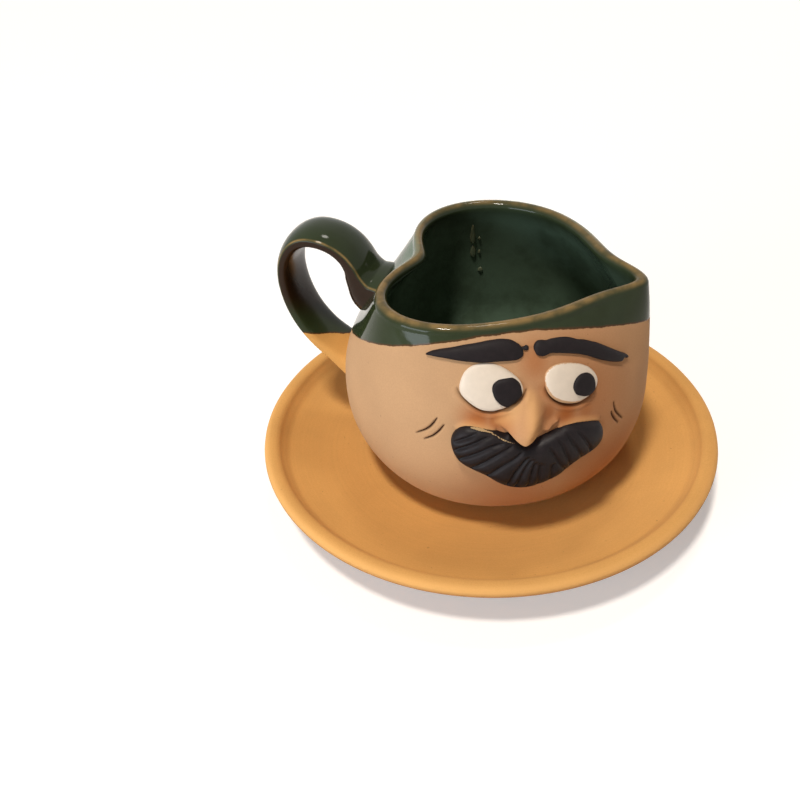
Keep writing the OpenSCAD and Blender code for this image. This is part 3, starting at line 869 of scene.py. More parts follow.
# The strap's cross section in steps of maths: name, operation and inputs, where a name stands for what the
# steps before it, or the tree's inputs, gave. Across runs from -1 to 1 over the strap's width, and outward
# from -1 on its inner side to 1 on its outer side.
STRAP_STEPS = (
    ("cosine", "COSINE", "spin"),
    ("far across", "ABSOLUTE", "cosine"),
    ("far across", "POWER", "far across", 0.55),
    ("side", "SIGN", "cosine"),
    ("across", "MULTIPLY", "far across", "side"),
    ("sine", "SINE", "spin"),
    ("far out", "ABSOLUTE", "sine"),
    ("far out", "POWER", "far out", 0.55),
    ("side", "SIGN", "sine"),
    ("outward", "MULTIPLY", "far out", "side"),
    # Both ends are rounded off, and broader where they were pressed on
    ("end", "MULTIPLY_ADD", "share", 2.0, -1.0),
    ("end", "ABSOLUTE", "end"),
    ("root", "POWER", "end", 8.0),
    ("cap", "SUBTRACT", 1.0, "end"),
    ("cap", "MULTIPLY", "cap", 40.0),
    ("cap", "MINIMUM", "cap", 1.0),
    ("cap", "SQRT", "cap"),
    ("flare", "MULTIPLY_ADD", "root", "Root flare", 1.0),
    ("flare", "MULTIPLY", "cap", "flare"),
    ("half width", "MULTIPLY", "Width", 0.5),
    ("half width", "MULTIPLY", "half width", "flare"),
    # The outer side is domed, and the inner side nearly flat
    ("crown", "POWER", "far across", 2.0),
    ("crown", "SUBTRACT", 1.0, "crown"),
    ("facing", "GREATER_THAN", "outward", 0.0),
    ("edge", "MULTIPLY_ADD", "facing", -0.34, 1.0),
    ("domed", "MULTIPLY_ADD", "facing", 0.4, 0.16),
    ("bulge", "MULTIPLY_ADD", "crown", "domed", "edge"),
    # Clay fills the corners on the inner side, most of all at the upper root
    ("inner", "SUBTRACT", 1.0, "facing"),
    ("fillet", "SUBTRACT", 1.0, "share"),
    ("fillet", "POWER", "fillet", 17.0),
    ("fillet", "MULTIPLY", "fillet", 2.7),
    ("fillet", "MAXIMUM", "fillet", "root"),
    ("fillet", "MULTIPLY", "fillet", "inner"),
    ("swell", "MULTIPLY_ADD", "fillet", 3.4, 1.0),
    ("swell", "MULTIPLY", "cap", "swell"),
    ("half thick", "MULTIPLY", "Thickness", 0.5),
    ("half thick", "MULTIPLY", "half thick", "bulge"),
    ("half thick", "MULTIPLY", "half thick", "swell"),
    ("out", "MULTIPLY", "outward", "half thick"),
    ("y", "MULTIPLY_ADD", "across", "half width", "Off Y"),
)


def strap_tree():
    """Sweeps a strap with a domed outer face along a path in X and Z, broader at its two roots."""
    sizes = ("Width", "Thickness", "Root flare", "Off Y")
    inputs = {"Path": "Geometry", "Around": "Int", "Along": "Int", **dict.fromkeys(sizes, "Float")}
    tree, node, given = new_tree("strap_form", "Strap", {**inputs, "Finish": "Material"})
    grid, spin, share, curve = grid_on_curve(node, given["Path"], given)
    on_curve = {"Curves": curve, "Factor": share}
    path = node("GeometryNodeSampleCurve", on_curve, mode="FACTOR", use_all_curves=True).outputs
    known = {"spin": spin, "share": share, **{size: given[size] for size in sizes}}
    for name, operation, *values in STRAP_STEPS:
        known[name] = node("ShaderNodeMath", [known.get(v, v) for v in values], operation=operation)
    side = node("ShaderNodeCombineXYZ", (0.0, 1.0, 0.0))
    normal = node("ShaderNodeVectorMath", (side, path["Tangent"]), operation="CROSS_PRODUCT")
    out = node("ShaderNodeVectorMath", (normal, known["out"]), operation="SCALE")
    place = node("ShaderNodeVectorMath", (path["Position"], out))
    shift = node("ShaderNodeCombineXYZ", (0.0, known["y"], 0.0))
    place = node("ShaderNodeVectorMath", (place, shift))
    fields = {"across": known["far across"], "outward": known["outward"]}
    close_tree(node, grid, place, fields, given["Finish"])
    return tree


def grow_on_line(name, line, tree, values, line_fields=None):
    """Runs a tree on a line of points in millimetres, and returns the plain mesh object it makes."""
    mesh = bpy.data.meshes.new(name + "_line")
    mesh.from_pydata((np.asarray(line) * METRES).tolist(), [(i, i + 1) for i in range(len(line) - 1)], [])
    store_fields(mesh, line_fields or {})
    host = new_object(name + "_line", mesh)
    grown = host.modifiers.new(tree.name, "NODES")
    grown.node_group = tree
    for item in tree.interface.items_tree:
        if item.in_out == "INPUT" and item.name in values:
            grown[item.identifier] = values[item.name]
    made = bpy.data.meshes.new_from_object(host.evaluated_get(bpy.context.evaluated_depsgraph_get()))
    made.name = name
    host.modifiers.remove(grown)
    bpy.data.objects.remove(host)
    if not made.polygons:
        raise RuntimeError(f"the tree {tree.name} made no faces")
    turn_outwards(made)
    return new_object(name, made)


def saucer_section():
    """Half section of the saucer from the middle of its top to the middle of its underside."""
    s = Millimetres(settings().saucer)
    seat = Millimetres(settings().cup).seat
    r = s.width / 2
    band_in = r - s.band
    slope_in, slope_out = s.seat_width / 2, band_in - 0.7 * s.band
    slope_top = s.height - s.thickness
    edge = s.thickness / 3

    def floor(x):
        return seat + (slope_top - seat) * np.clip((x - slope_in) / (slope_out - slope_in), 0, 1) ** 1.7

    top = [(0, seat), (s.seat_width / 6, seat), (s.seat_width / 3, seat)]
    slope = [(x, floor(x)) for x in np.linspace(slope_in, slope_out, 14)]
    step = [
        (mix(slope_out, band_in, a), mix(slope_top, s.height - edge, b))
        for a, b in ((0.3, 0.16), (0.6, 0.52), (0.85, 0.85))
    ]
    band = [(band_in + a * edge, s.height - b * edge) for a, b in ((0.1, 0.5), (0.5, 0.18), (1.0, 0.04))]
    rim = [
        (r - a * edge, s.height - b * edge)
        for a, b in ((1.5, 0.0), (0.8, 0.14), (0.3, 0.5), (0.04, 1.0), (0.04, 1.5), (0.3, 2.0), (1.2, 2.6))
    ]
    ring_r, ring_in = s.ring_width / 2, s.ring_width / 2 - s.ring_wall
    under = [
        (x + 0.33 * s.thickness, floor(x) - 0.98 * s.thickness)
        for x in np.linspace(slope_out, ring_r + 0.25 * s.thickness, 12)
    ]
    soft = 0.2 * s.ring_wall
    hollow = seat - s.thickness
    ring = [
        (ring_r + 0.3, soft + 1.0), (ring_r, soft), (ring_r - 0.3 * soft, 0.3 * soft), (ring_r - soft, 0),
        (ring_in + soft, 0), (ring_in + 0.3 * soft, 0.3 * soft), (ring_in, soft),
        (ring_in - soft, hollow - 0.4), (ring_in - 2 * soft, hollow),
    ]
    corners = top + slope + step + band + rim + under + ring + [(ring_in / 2, hollow), (0, hollow)]
    line = np.maximum(smooth_line(corners, 5), 0)
    x, z = line.T
    # Where the rim's outer top edge is paler, partly rubbed and partly a painted highlight, and where shade
    # is painted under the rim
    outer = smooth_step(r - 1.6 * edge, r - 0.4 * edge, x)
    outer *= smooth_step(s.height - 2 * edge, s.height - edge, z)
    run = np.arange(len(line)) / (len(line) - 1)
    turned_under = 5 * (len(top + slope + step + band) + 4) / (len(line) - 1)
    shade = smooth_step(turned_under - 0.03, turned_under + 0.01, run)
    return np.stack([x, 0 * x, z], -1), {"edge": outer * 0.5, "under": shade * 0.75}


def strap_path(wall):
    """Middle line of the strap: out of the wall under the notch, up and over, and back in to the belly."""
    s = Millimetres(settings().handle)
    # Out from the belly and up from the foot, as shares of the loop's stand and of its top
    shares = [
        (-0.46, 0.815), (-0.335, 0.85), (-0.24, 0.896), (-0.11, 0.941), (0.07, 0.976), (0.28, 0.996),
        (0.5, 1), (0.69, 0.983), (0.845, 0.945), (0.965, 0.884), (1.015, 0.806), (0.99, 0.722),
        (0.905, 0.639), (0.76, 0.56), (0.545, 0.486), (0.29, 0.424),
    ]
    stand, top = s.stand - s.thickness / 2, s.top - s.thickness / 2

    def root(out, up, height):
        """A point near the wall, out and up by shares of the strap's thickness."""
        z = wall.foot_z + height
        return float(wall.radius(180.0, z)) + out * s.thickness, z + up * s.thickness

    points = [root(-0.9, 0.26, s.root_top), root(-0.2, 0.34, s.root_top)]
    points += [(wall.belly_r + a * stand, wall.foot_z + b * top) for a, b in shares]
    points += [root(0.12, 0, s.root_low), root(-0.8, -0.4, s.root_low)]
    x, z = smooth_line(points, 8).T
    return np.stack([wall.size.off_x - x, 0 * x, z], -1)


def dip_line(wall):
    """Height of the glaze's edge over the angle, as a function.

    It is the tilt of the dip and two slow waves, fitted to the edge in the photograph.
    """
    t, z = sight_on_wall(wall, GLAZE_EDGE).T

    def terms(t):
        return np.stack([np.ones_like(t), cos(t), sin(t), cos(2 * t), sin(2 * t)], -1)

    # The two waves are held small, since the photograph shows only part of the way round
    hold = np.diag([0.0, 0.02, 0.02, 1.2, 1.2])
    rows = terms(t)
    weights = np.linalg.solve(rows.T @ rows + hold, rows.T @ z)
    return lambda angle: terms(angle) @ weights


# Pads of clay on the wall


class Pad:
    """A pad of clay pressed on to the wall, from its outline as angles and heights.

    Its mesh is a ladder: the outline's two sides, from one end of the pad to the other, joined by rungs.
    """

    def __init__(self, wall, outline, steps=90, rungs=30, along=(1.0, 0.0)):
        self.wall = wall
        loop = smooth_loop(outline, 900)
        self.flat_loop = wall.flat(smooth_loop(outline, 300))
        reach = wall.flat(loop) @ np.array(along)
        loop = np.roll(loop, -int(reach.argmin()), 0)
        split = int(np.roll(reach, -int(reach.argmin())).argmax())
        share = (1 - cos(180 * np.arange(steps + 1) / steps)) / 2
        self.one = spread(loop[: split + 1], share, wall.flat)
        self.other = spread(np.vstack([loop[split:], loop[:1]])[::-1], share, wall.flat)
        self.grid = self.rung((1 - cos(180 * np.arange(rungs + 1) / rungs)) / 2)

    def rung(self, share):
        return mix(self.one[1:-1, None], self.other[1:-1, None], np.asarray(share)[None, :, None])

    def depth(self, tz):
        return depth_inside(self.flat_loop, self.wall.flat(tz))

    def dome(self, tz, reach):
        """0 at the edge, rising as a quarter circle over a reach in millimetres to 1."""
        share = np.clip(self.depth(tz) / reach, 0, 1)
        return np.sqrt(np.maximum(0, 1 - (1 - share) ** 2))

    def build(self, name, height, material, fields=None, sink=0.9):
        """Makes the mesh from its height and its fields, which are functions of angles and heights.

        The pad's edge and back lie inside the wall.
        """
        edge = -0.3
        out = height(self.grid.reshape(-1, 2)).reshape(self.grid.shape[:2])
        out[:, 0] = out[:, -1] = edge
        back = self.rung([0.95, 0.65, 0.35, 0.05])
        tops = self.wall.point(self.grid[..., 0], self.grid[..., 1], out)
        backs = self.wall.point(back[..., 0], back[..., 1], -sink)
        ends = [self.wall.point(*self.one[k], edge) for k in (0, -1)]
        points, faces = skin(np.concatenate([tops, backs], axis=1), *ends)
        middle = np.concatenate([self.grid, back], axis=1).reshape(-1, 2)
        every = np.vstack([self.one[:1], middle, self.one[-1:]])
        values = {key: value(every) for key, value in (fields or {}).items()}
        return make_piece(name, points, faces, material, values)


# How far in from its edge each pad of the face rounds up, and the knob's height
EYE_ROUND, PUPIL_ROUND, BROW_ROUND, KNOB_ROUND = 2.6, 0.6, 1.25, 0.4
KNOB_HEIGHT = 0.8


def domed(pad, height, reach, under=None):
    """A pad's height as a function: a dome on the wall, or on what lies under it."""
    return lambda tz: height * pad.dome(tz, reach) + (under(tz) if under else 0)


def face_pads(wall):
    """The face's pads by name, each with its height as a function."""
    s = Millimetres(settings().face)
    pads = {}
    for side, eye, pupil in (("handle", HANDLE_EYE, HANDLE_PUPIL), ("spout", SPOUT_EYE, SPOUT_PUPIL)):
        ball = Pad(wall, sight_on_wall(wall, eye, 0.2))
        on_ball = domed(ball, s.eye, EYE_ROUND)
        rests_on = on_ball(sight_on_wall(wall, pupil, s.eye)) + 0.1
        black = Pad(wall, sight_on_wall(wall, pupil, rests_on), steps=60, rungs=24)
        pads[side + "_eye"] = ball, on_ball
        pads[side + "_pupil"] = black, domed(black, s.pupil, PUPIL_ROUND, on_ball)
    for side, brow in (("handle", HANDLE_BROW), ("spout", SPOUT_BROW)):
        ridge = Pad(wall, sight_on_wall(wall, brow, 0.3), steps=200, rungs=26)
        pads[side + "_brow"] = ridge, domed(ridge, s.brow, BROW_ROUND)
    knob = Pad(wall, sight_on_wall(wall, HANDLE_BROW_KNOB, 0.2), steps=30, rungs=14)
    pads["knob"] = knob, domed(knob, KNOB_HEIGHT, KNOB_ROUND)
    return pads


class FaceMarks:
    """What the potter cut, pressed and washed into the wall round the face, with shade and highlights painted
    on it.
    """

    # Place in the photograph, reach in millimetres and strength of each patch of iron wash and painted shade
    WASHES = (
        ((478, 419), 3.8, 0.9), ((498, 420), 3.4, 0.95), ((566, 413), 3.8, 0.95), ((586, 409), 4.0, 0.75),
        ((536, 362), 5.0, 0.66), ((546, 390), 3.4, 0.6), ((548, 411), 3.2, 0.75), ((600, 424), 3.6, 0.55),
        ((580, 405), 17.0, 0.6), ((512, 494), 12.0, 0.55), ((604, 460), 14.0, 0.62),
    )
    # Half width of a cut line, and of the shade painted in it
    CUT_WIDTH, CUT_DARK = 0.26, 0.22
    # Depth of a lid's crease, and height, distance and half width of the fold of clay beside it
    LID_DEPTH, FOLD_HEIGHT, FOLD_AWAY, FOLD_WIDTH = 0.55, 0.28, 0.95, 0.5
    # Height, distance and half width of the clay smeared up along the moustache
    SEAM_HEIGHT, SEAM_AWAY, SEAM_WIDTH = 0.75, 0.25, 0.6

    def __init__(self, wall):
        self.wall = wall
        self.cuts = [self.drawn(line) for line in CHEEK_LINES]
        # Line, the eye over it and half the width of each lid's crease
        self.lids = [
            (self.drawn(line), wall.flat(smooth_loop(sight_on_wall(wall, eye, 0.2), 120)), deep)
            for line, eye, deep in ((HANDLE_LID, HANDLE_EYE, 0.3), (SPOUT_LID, SPOUT_EYE, 0.44))
        ]
        self.seams = [self.drawn(line) for line in MOUSTACHE_SEAMS]
        # Lines along which a highlight is painted: the nose's ridge and the clay under the eye on the
        # handle's side
        self.ridge = wall.flat(sight_on_wall(wall, [(533, 397), (534, 410), (533, 428), (527, 450)], 3.0))
        self.under_eye = wall.flat(sight_on_wall(wall, [(495, 424), (510, 415), (522, 402)], 0.5))
        self.washes = [
            (wall.flat(sight_on_wall(wall, pixel))[0], reach, most) for pixel, reach, most in self.WASHES
        ]
        self.line_depth = Millimetres(settings().face).line

    def drawn(self, line):
        return self.wall.flat(smooth_line(sight_on_wall(self.wall, line), 4))

    def over_face(self, tz, amount):
        """Works an amount out on the face's part of the wall, since it is 0 everywhere else."""
        near = (np.abs(turn_of(tz[:, 0] + 63)) < 46) & (tz[:, 1] > 26) & (tz[:, 1] < 58.5)
        out = np.zeros(len(tz))
        if near.any():
            out[near] = amount(self.wall.flat(tz[near]))
        return out

    def relief(self, tz):
        """Height of the marks over the plain wall."""

        def height(p):
            out = -self.line_depth * sum(stroke(p, line, self.CUT_WIDTH) for line in self.cuts)
            for line, eye, wide in self.lids:
                gap, along = distance_to_line(p, line)
                fold = self.FOLD_HEIGHT * bell(gap - self.FOLD_AWAY, self.FOLD_WIDTH) * ~inside_loop(eye, p)
                out += taper(along) * (fold - self.LID_DEPTH * bell(gap, wide + 0.05))
            for line in self.seams:
                gap, along = distance_to_line(p, line)
                out += self.SEAM_HEIGHT * taper(along) * bell(gap - self.SEAM_AWAY, self.SEAM_WIDTH)
            return out

        return self.over_face(tz, height)

    def wash(self, tz):
        """How brown the clay is under the eyes, beside the nose and low on the spout's side: partly an iron
        wash, partly painted shade.
        """
        p = self.wall.flat(tz)
        patches = [most * bell(np.linalg.norm(p - at, axis=1), reach) for at, reach, most in self.washes]
        return np.max(patches, axis=0)

    def pale(self, tz):
        """How much highlight is painted on the clay: on the nose's ridge, under an eye and along the
        moustache.
        """

        def amount(p):
            paler_tone = [0.6 * stroke(p, self.ridge, 1.8), 0.5 * stroke(p, self.under_eye, 1.6)]
            return np.max(paler_tone + [0.6 * stroke(p, line, 0.8) for line in self.seams], axis=0)

        return self.over_face(tz, amount)

    def dark(self, tz):
        """How much shade is painted in the cut lines and in the lids' creases."""

        def amount(p):
            lines = [1.5 * stroke(p, line, self.CUT_DARK) for line in self.cuts]
            lines += [stroke(p, line, wide) for line, _, wide in self.lids]
            return np.clip(np.max(lines, axis=0), 0, 1)

        return self.over_face(tz, amount)


# Operators


class CLAYCUP_OT_saucer(Operator):
    """Turn the saucer on the wheel"""

    bl_idname = "claycup.saucer"
    bl_label = "Saucer"

    def execute(self, context):
        s = settings().saucer
        section, fields = saucer_section()
        finish = terracotta("terracotta_turned")
        values = {"Around": s.steps + 1, "Along": 190, "Waver": s.waver, "Finish": finish}
        piece = grow_on_line("saucer_turned", section, turned_tree(), values, fields)
        hand_over(piece, "saucer", "saucer")
        return {"FINISHED"}


def cup_angles():
    """Angles round the cup, closer together over the face and the spout."""
    bands = ((-180, -107, 2.0), (-107, -17, 0.36), (-17, 17, 1.0), (17, 180, 2.0))
    return np.concatenate([np.linspace(a, b, round((b - a) / step), endpoint=False) for a, b, step in bands])


class CLAYCUP_OT_body(Operator):
    """Build the cup's body with its spout, its cut lines and its glaze line"""

    bl_idname = "claycup.body"
    bl_label = "Cup body"

    def execute(self, context):
        wall = Wall()
        marks = FaceMarks(wall)
        s = wall.size
        t = cup_angles()
        half_lip = s.lip / 2
        quarter = half_lip * math.pi / 2
        foot_z, foot_in, foot_r = wall.foot_z, wall.foot_r - s.foot_ring, wall.foot_r
        hollow_z, floor_z, floor_r = foot_z + s.foot_hollow, foot_z + s.floor, wall.foot_r - s.wall
        # A way along the wall that counts as far from the lip
        far = 50
        # Radius and height of each ring, its way to the lip's top along the wall, and 1 if it is inside
        rings = [
            (r, z, far, 0)
            for r, z in (
                (foot_in / 3, hollow_z), (foot_in * 0.7, hollow_z), (foot_in - 0.8, hollow_z),
                (foot_in, hollow_z - 0.3), (foot_in + 0.2, foot_z + 0.3), (foot_in + 0.7, foot_z),
                (foot_r - 0.7, foot_z), (foot_r - 0.1, foot_z + 0.02),
            )
        ]
        low = wall.belly_z - s.belly_height * sin(90 * (1 - np.arange(1, 25) / 24))
        for z in np.concatenate([low, np.linspace(wall.belly_z, wall.lip_z, 111)[1:]]):
            r = wall.radius(t, z) + wall.uneven(t, z) + marks.relief(np.column_stack([t, 0 * t + z]))
            rings.append((r, z, quarter + wall.lip_z - z, 0))
        lip_r = wall.radius(t, wall.lip_z) + wall.uneven(t, wall.lip_z)
        for a in np.linspace(0, 180, 16)[1:-1]:
            to_top = half_lip * abs(math.radians(a - 90))
            rings.append((lip_r - half_lip * (1 - cos(a)), wall.lip_z + half_lip * sin(a), to_top, a > 90))
        for z in np.linspace(wall.lip_z, wall.belly_z, 32):
            r = wall.radius(t, z) - wall.thickness(t, z) + wall.uneven(t, z)
            rings.append((r, z, quarter + wall.lip_z - z, 1))
        for a in np.linspace(0, 90, 15)[1:]:
            r = mix(floor_r, wall.belly_r - s.wall, cos(a))
            rings.append((r, mix(wall.belly_z, floor_z, sin(a)), far, 1))
        rings += [(floor_r * share, floor_z, far, 1) for share in (0.75, 0.5, 0.25)]

        rings = [np.stack(np.broadcast_arrays(t, *ring), -1) for ring in rings]
        points, faces = skin(rings, (0, 0, hollow_z, far, 0), (0, 0, floor_z, far, 1))
        angle_at, r, z, gap, inside = points.T
        tz = np.column_stack([angle_at, z])
        outer = inside == 0
        # Inside, the glaze thickens over 10 mm below the lip, and deep down takes a lighter colour that is
        # partly a painted reflection. It breaks over the lip, most on the face's side, where the stronger
        # break is partly a painted highlight
        fields = {
            "dip": np.where(outer, z - dip_line(wall)(angle_at), 13.5 + 0.65 * np.minimum(gap, 10)),
            "thin": smooth_step(1.9, 0.5, gap) * (0.7 - 0.14 * sin(angle_at)),
            "wash": marks.wash(tz) * outer,
            "pale": marks.pale(tz) * outer,
            "dark": marks.dark(tz) * outer,
        }
        material = dipped_clay("dipped_clay", settings().finishes.clay)
        piece = make_piece("cup_body_shell", wall.place(angle_at, z, r), faces, material, fields)
        hand_over(piece, "cup", "cup_body")
        return {"FINISHED"}


class CLAYCUP_OT_drops(Operator):
    """Let the glaze run and bead inside the bowl"""

    bl_idname = "claycup.drops"
    bl_label = "Glaze drops"

    # Name, angle and height of the middle, half width and half height
    DROPS = (
        ("glaze_run_upper", 114.4, 52.2, 1.1, 3.2), ("glaze_run_lower", 114.2, 46.6, 1.1, 2.0),
        ("glaze_bead_upper", 111.2, 50.7, 0.55, 0.55), ("glaze_bead_middle", 111.2, 46.2, 0.55, 0.7),
        ("glaze_bead_low", 110.7, 40.3, 0.95, 0.8),
    )
    DROP_HEIGHT, DROP_ROUND = 0.6, 0.7

    def execute(self, context):
        wall = InnerWall()
        glaze = dipped_clay("lead_glaze_beads", settings().finishes.clay, shine=1.9)
        fields = {"dip": lambda tz: np.full(len(tz), 20.0), "thin": lambda tz: np.full(len(tz), 0.3)}
        around = 15.0 * np.arange(24)
        for name, middle, height, wide, tall in self.DROPS:
            # A drop hangs, so it is broadest in its lower half
            side = wide * sin(around) * (0.72 - 0.28 * cos(around))
            outline = np.column_stack([middle + side / wall.degree, height + tall * cos(around)])
            drop = Pad(wall, outline, steps=48, rungs=20, along=(0.0, 1.0))
            height_of = domed(drop, self.DROP_HEIGHT, self.DROP_ROUND)
            piece = drop.build(name, height_of, glaze, fields, sink=0.4)
            hand_over(piece, "cup")
        return {"FINISHED"}


class CLAYCUP_OT_handle(Operator):
    """Pull the strap handle and press it on"""

    bl_idname = "claycup.handle"
    bl_label = "Handle"

    def execute(self, context):
        wall = Wall()
        s = settings().handle
        size = Millimetres(s)
        finish = dipped_clay("dipped_strap", settings().finishes.terracotta)
        values = {
            "Around": 97, "Along": 200, "Width": s.width, "Thickness": s.thickness, "Root flare": 0.22,
            "Off Y": settings().cup.off_y, "Finish": finish,
        }
        piece = grow_on_line("strap_handle", strap_path(wall), strap_tree(), values)
        mesh = piece.data
        x, y, z = (vertex_places(mesh) / METRES - [wall.size.off_x, wall.size.off_y, 0]).T
        # The pressed-on ends spread out inside the wall, and never come through into the bowl
        t = np.degrees(np.arctan2(y, x))
        r = np.maximum(np.hypot(x, y), wall.radius(t, z) - 0.45 * wall.size.wall)
        points = wall.place(t, z, r)
        mesh.vertices.foreach_set("co", (points * METRES).ravel())
        mesh.update()
        across, outward = np.zeros((2, len(z)), np.float32)
        mesh.attributes["across"].data.foreach_get("value", across)
        mesh.attributes["outward"].data.foreach_get("value", outward)
        over = (points[:, 1] - wall.size.off_y) / size.width + 0.5
        above = z - mix(size.dip_near, size.dip_far, over)
        # The glaze breaks along both edges of the outer side, and shade is painted on the inner side's upper
        # part
        edge = smooth_step(0.9, 0.97, across)
        edge *= smooth_step(0.4, 0.62, outward) * smooth_step(0.94, 0.84, outward)
        inner_side_shade = 0.85 * smooth_step(0.42, 0.2, outward) * smooth_step(3, 12, above)
        store_fields(mesh, {"dip": np.minimum(above, 12), "thin": edge, "dark": inner_side_shade})
        hand_over(piece, "cup", "handle")
        return {"FINISHED"}


class CLAYCUP_OT_eyes(Operator):
    """Press on the whites of the eyes"""

    bl_idname = "claycup.eyes"
    bl_label = "Eyes"

    def execute(self, context):
        wall = Wall()
        look = settings().finishes
        mottle = [c * 0.96 for c in look.white_slip]
        white = slip_paint("white_slip", look.white_slip, look.clay, 0.45, mottle, 1.4)
        pads = face_pads(wall)
        covered = wall.flat(smooth_loop(sight_on_wall(wall, SPOUT_EYE_WHITE), 200))

        def no_bare(tz):
            return np.zeros(len(tz))

        def bare_below(tz):
            """The slip stops short of the lower lid of this eye."""
            p = wall.flat(tz)
            gap = distance_to_line(p, np.vstack([covered, covered[:1]]))[0]
            return np.clip(0.5 + np.where(inside_loop(covered, p), -gap, gap) / 0.6, 0, 1)

        for side, bare in (("handle", no_bare), ("spout", bare_below)):
            pad, height = pads[side + "_eye"]
            piece = pad.build(f"eye_white_{side}_side", height, white, {"bare": bare})
            hand_over(piece, "cup", f"eye_{side}_side")
        return {"FINISHED"}


class CLAYCUP_OT_pupils(Operator):
    """Press on the pupils"""

    bl_idname = "claycup.pupils"
    bl_label = "Pupils"

    def execute(self, context):
        pads = face_pads(Wall())
        black = black_slip("black_slip_pupils", 0.6)
        for side in ("handle", "spout"):
            pad, height = pads[side + "_pupil"]
            piece = pad.build(f"pupil_pad_{side}_side", height, black, sink=0.4)
            hand_over(piece, "cup", f"pupil_{side}_side")
        return {"FINISHED"}


class CLAYCUP_OT_brows(Operator):
    """Press on the eyebrows"""

    bl_idname = "claycup.brows"
    bl_label = "Eyebrows"

    def execute(self, context):
        pads = face_pads(Wall())
        black = black_slip("black_slip_brows", 0.6)
        for side in ("handle", "spout"):
            pad, height = pads[side + "_brow"]
            piece = pad.build(f"brow_pad_{side}_side", height, black)
            hand_over(piece, "cup", f"brow_{side}_side")
        pad, height = pads["knob"]
        hand_over(pad.build("brow_knob", height, black), "cup")
        return {"FINISHED"}


class CLAYCUP_OT_nose(Operator):
    """Model the nose"""

    bl_idname = "claycup.nose"
    bl_label = "Nose"

    # Half width at the bridge and at the tip, on the handle's side and on the spout's
    HANDLE_SIDE, SPOUT_SIDE = (1.7, 4.0), (1.6, 3.2)
    # Height and half width of the roll of clay at the wing, and height of the underside, which turns in
    WING_HEIGHT, WING_WIDTH, UNDERSIDE = 0.9, 0.55, 0.9

    def execute(self, context):
        wall = Wall()
        marks = FaceMarks(wall)
        ridge = self.seen(wall, NOSE_RIDGE)
        ridge = ridge[np.argsort(ridge[:, 1])]
        hem = self.seen(wall, NOSE_HEM)
        hem = hem[np.argsort(hem[:, 0])]
        wing = wall.flat(sight_on_wall(wall, NOSE_WING, 0.8))
        pad = Pad(wall, sight_on_wall(wall, NOSE_OUTLINE), steps=130, rungs=80, along=(0.0, 1.0))

        def height(tz):
            p = wall.flat(tz)
            x, y = p.T
            side = x - np.interp(y, ridge[:, 1], ridge[:, 0])
            down = np.clip((ridge[-1, 1] - y) / (ridge[-1, 1] - ridge[0, 1]), 0, 1) ** 1.3
            wide = np.where(side < 0, mix(*self.HANDLE_SIDE, down), mix(*self.SPOUT_SIDE, down))
            out = np.interp(y, ridge[:, 1], ridge[:, 2]) * bell(side, wide)
            out += self.WING_HEIGHT * bell(distance_to_line(p, wing)[0], self.WING_WIDTH)
            short = np.clip((np.interp(x, hem[:, 0], hem[:, 1]) - y) / self.UNDERSIDE, 0, 1)
            return (out * smooth_step(0, 1.1, pad.depth(tz)) + marks.relief(tz)) * (1 - short**2)

        clay = dipped_clay("nose_clay", settings().finishes.clay)
        fields = {
            "dip": lambda tz: np.full(len(tz), -30.0),
            # The iron wash with painted shade, the painted highlight and the painted shade of the cut lines
            # reach over the nose
            "wash": marks.wash,
            "pale": marks.pale,
            "dark": marks.dark,
        }
        piece = pad.build("nose_modelled", height, clay, fields, sink=0.6)
        hand_over(piece, "cup", "nose")
        return {"FINISHED"}

    @staticmethod
    def seen(wall, places):
        """Flat places and heights of points of the nose, each seen at its share of the tip's height."""
        tip = Millimetres(settings().face).nose
        rows = []
        for x, y, share in places:
            out = share * tip
            rows.append((*wall.flat(sight_on_wall(wall, (x, y), out))[0], out))
        return np.array(rows)


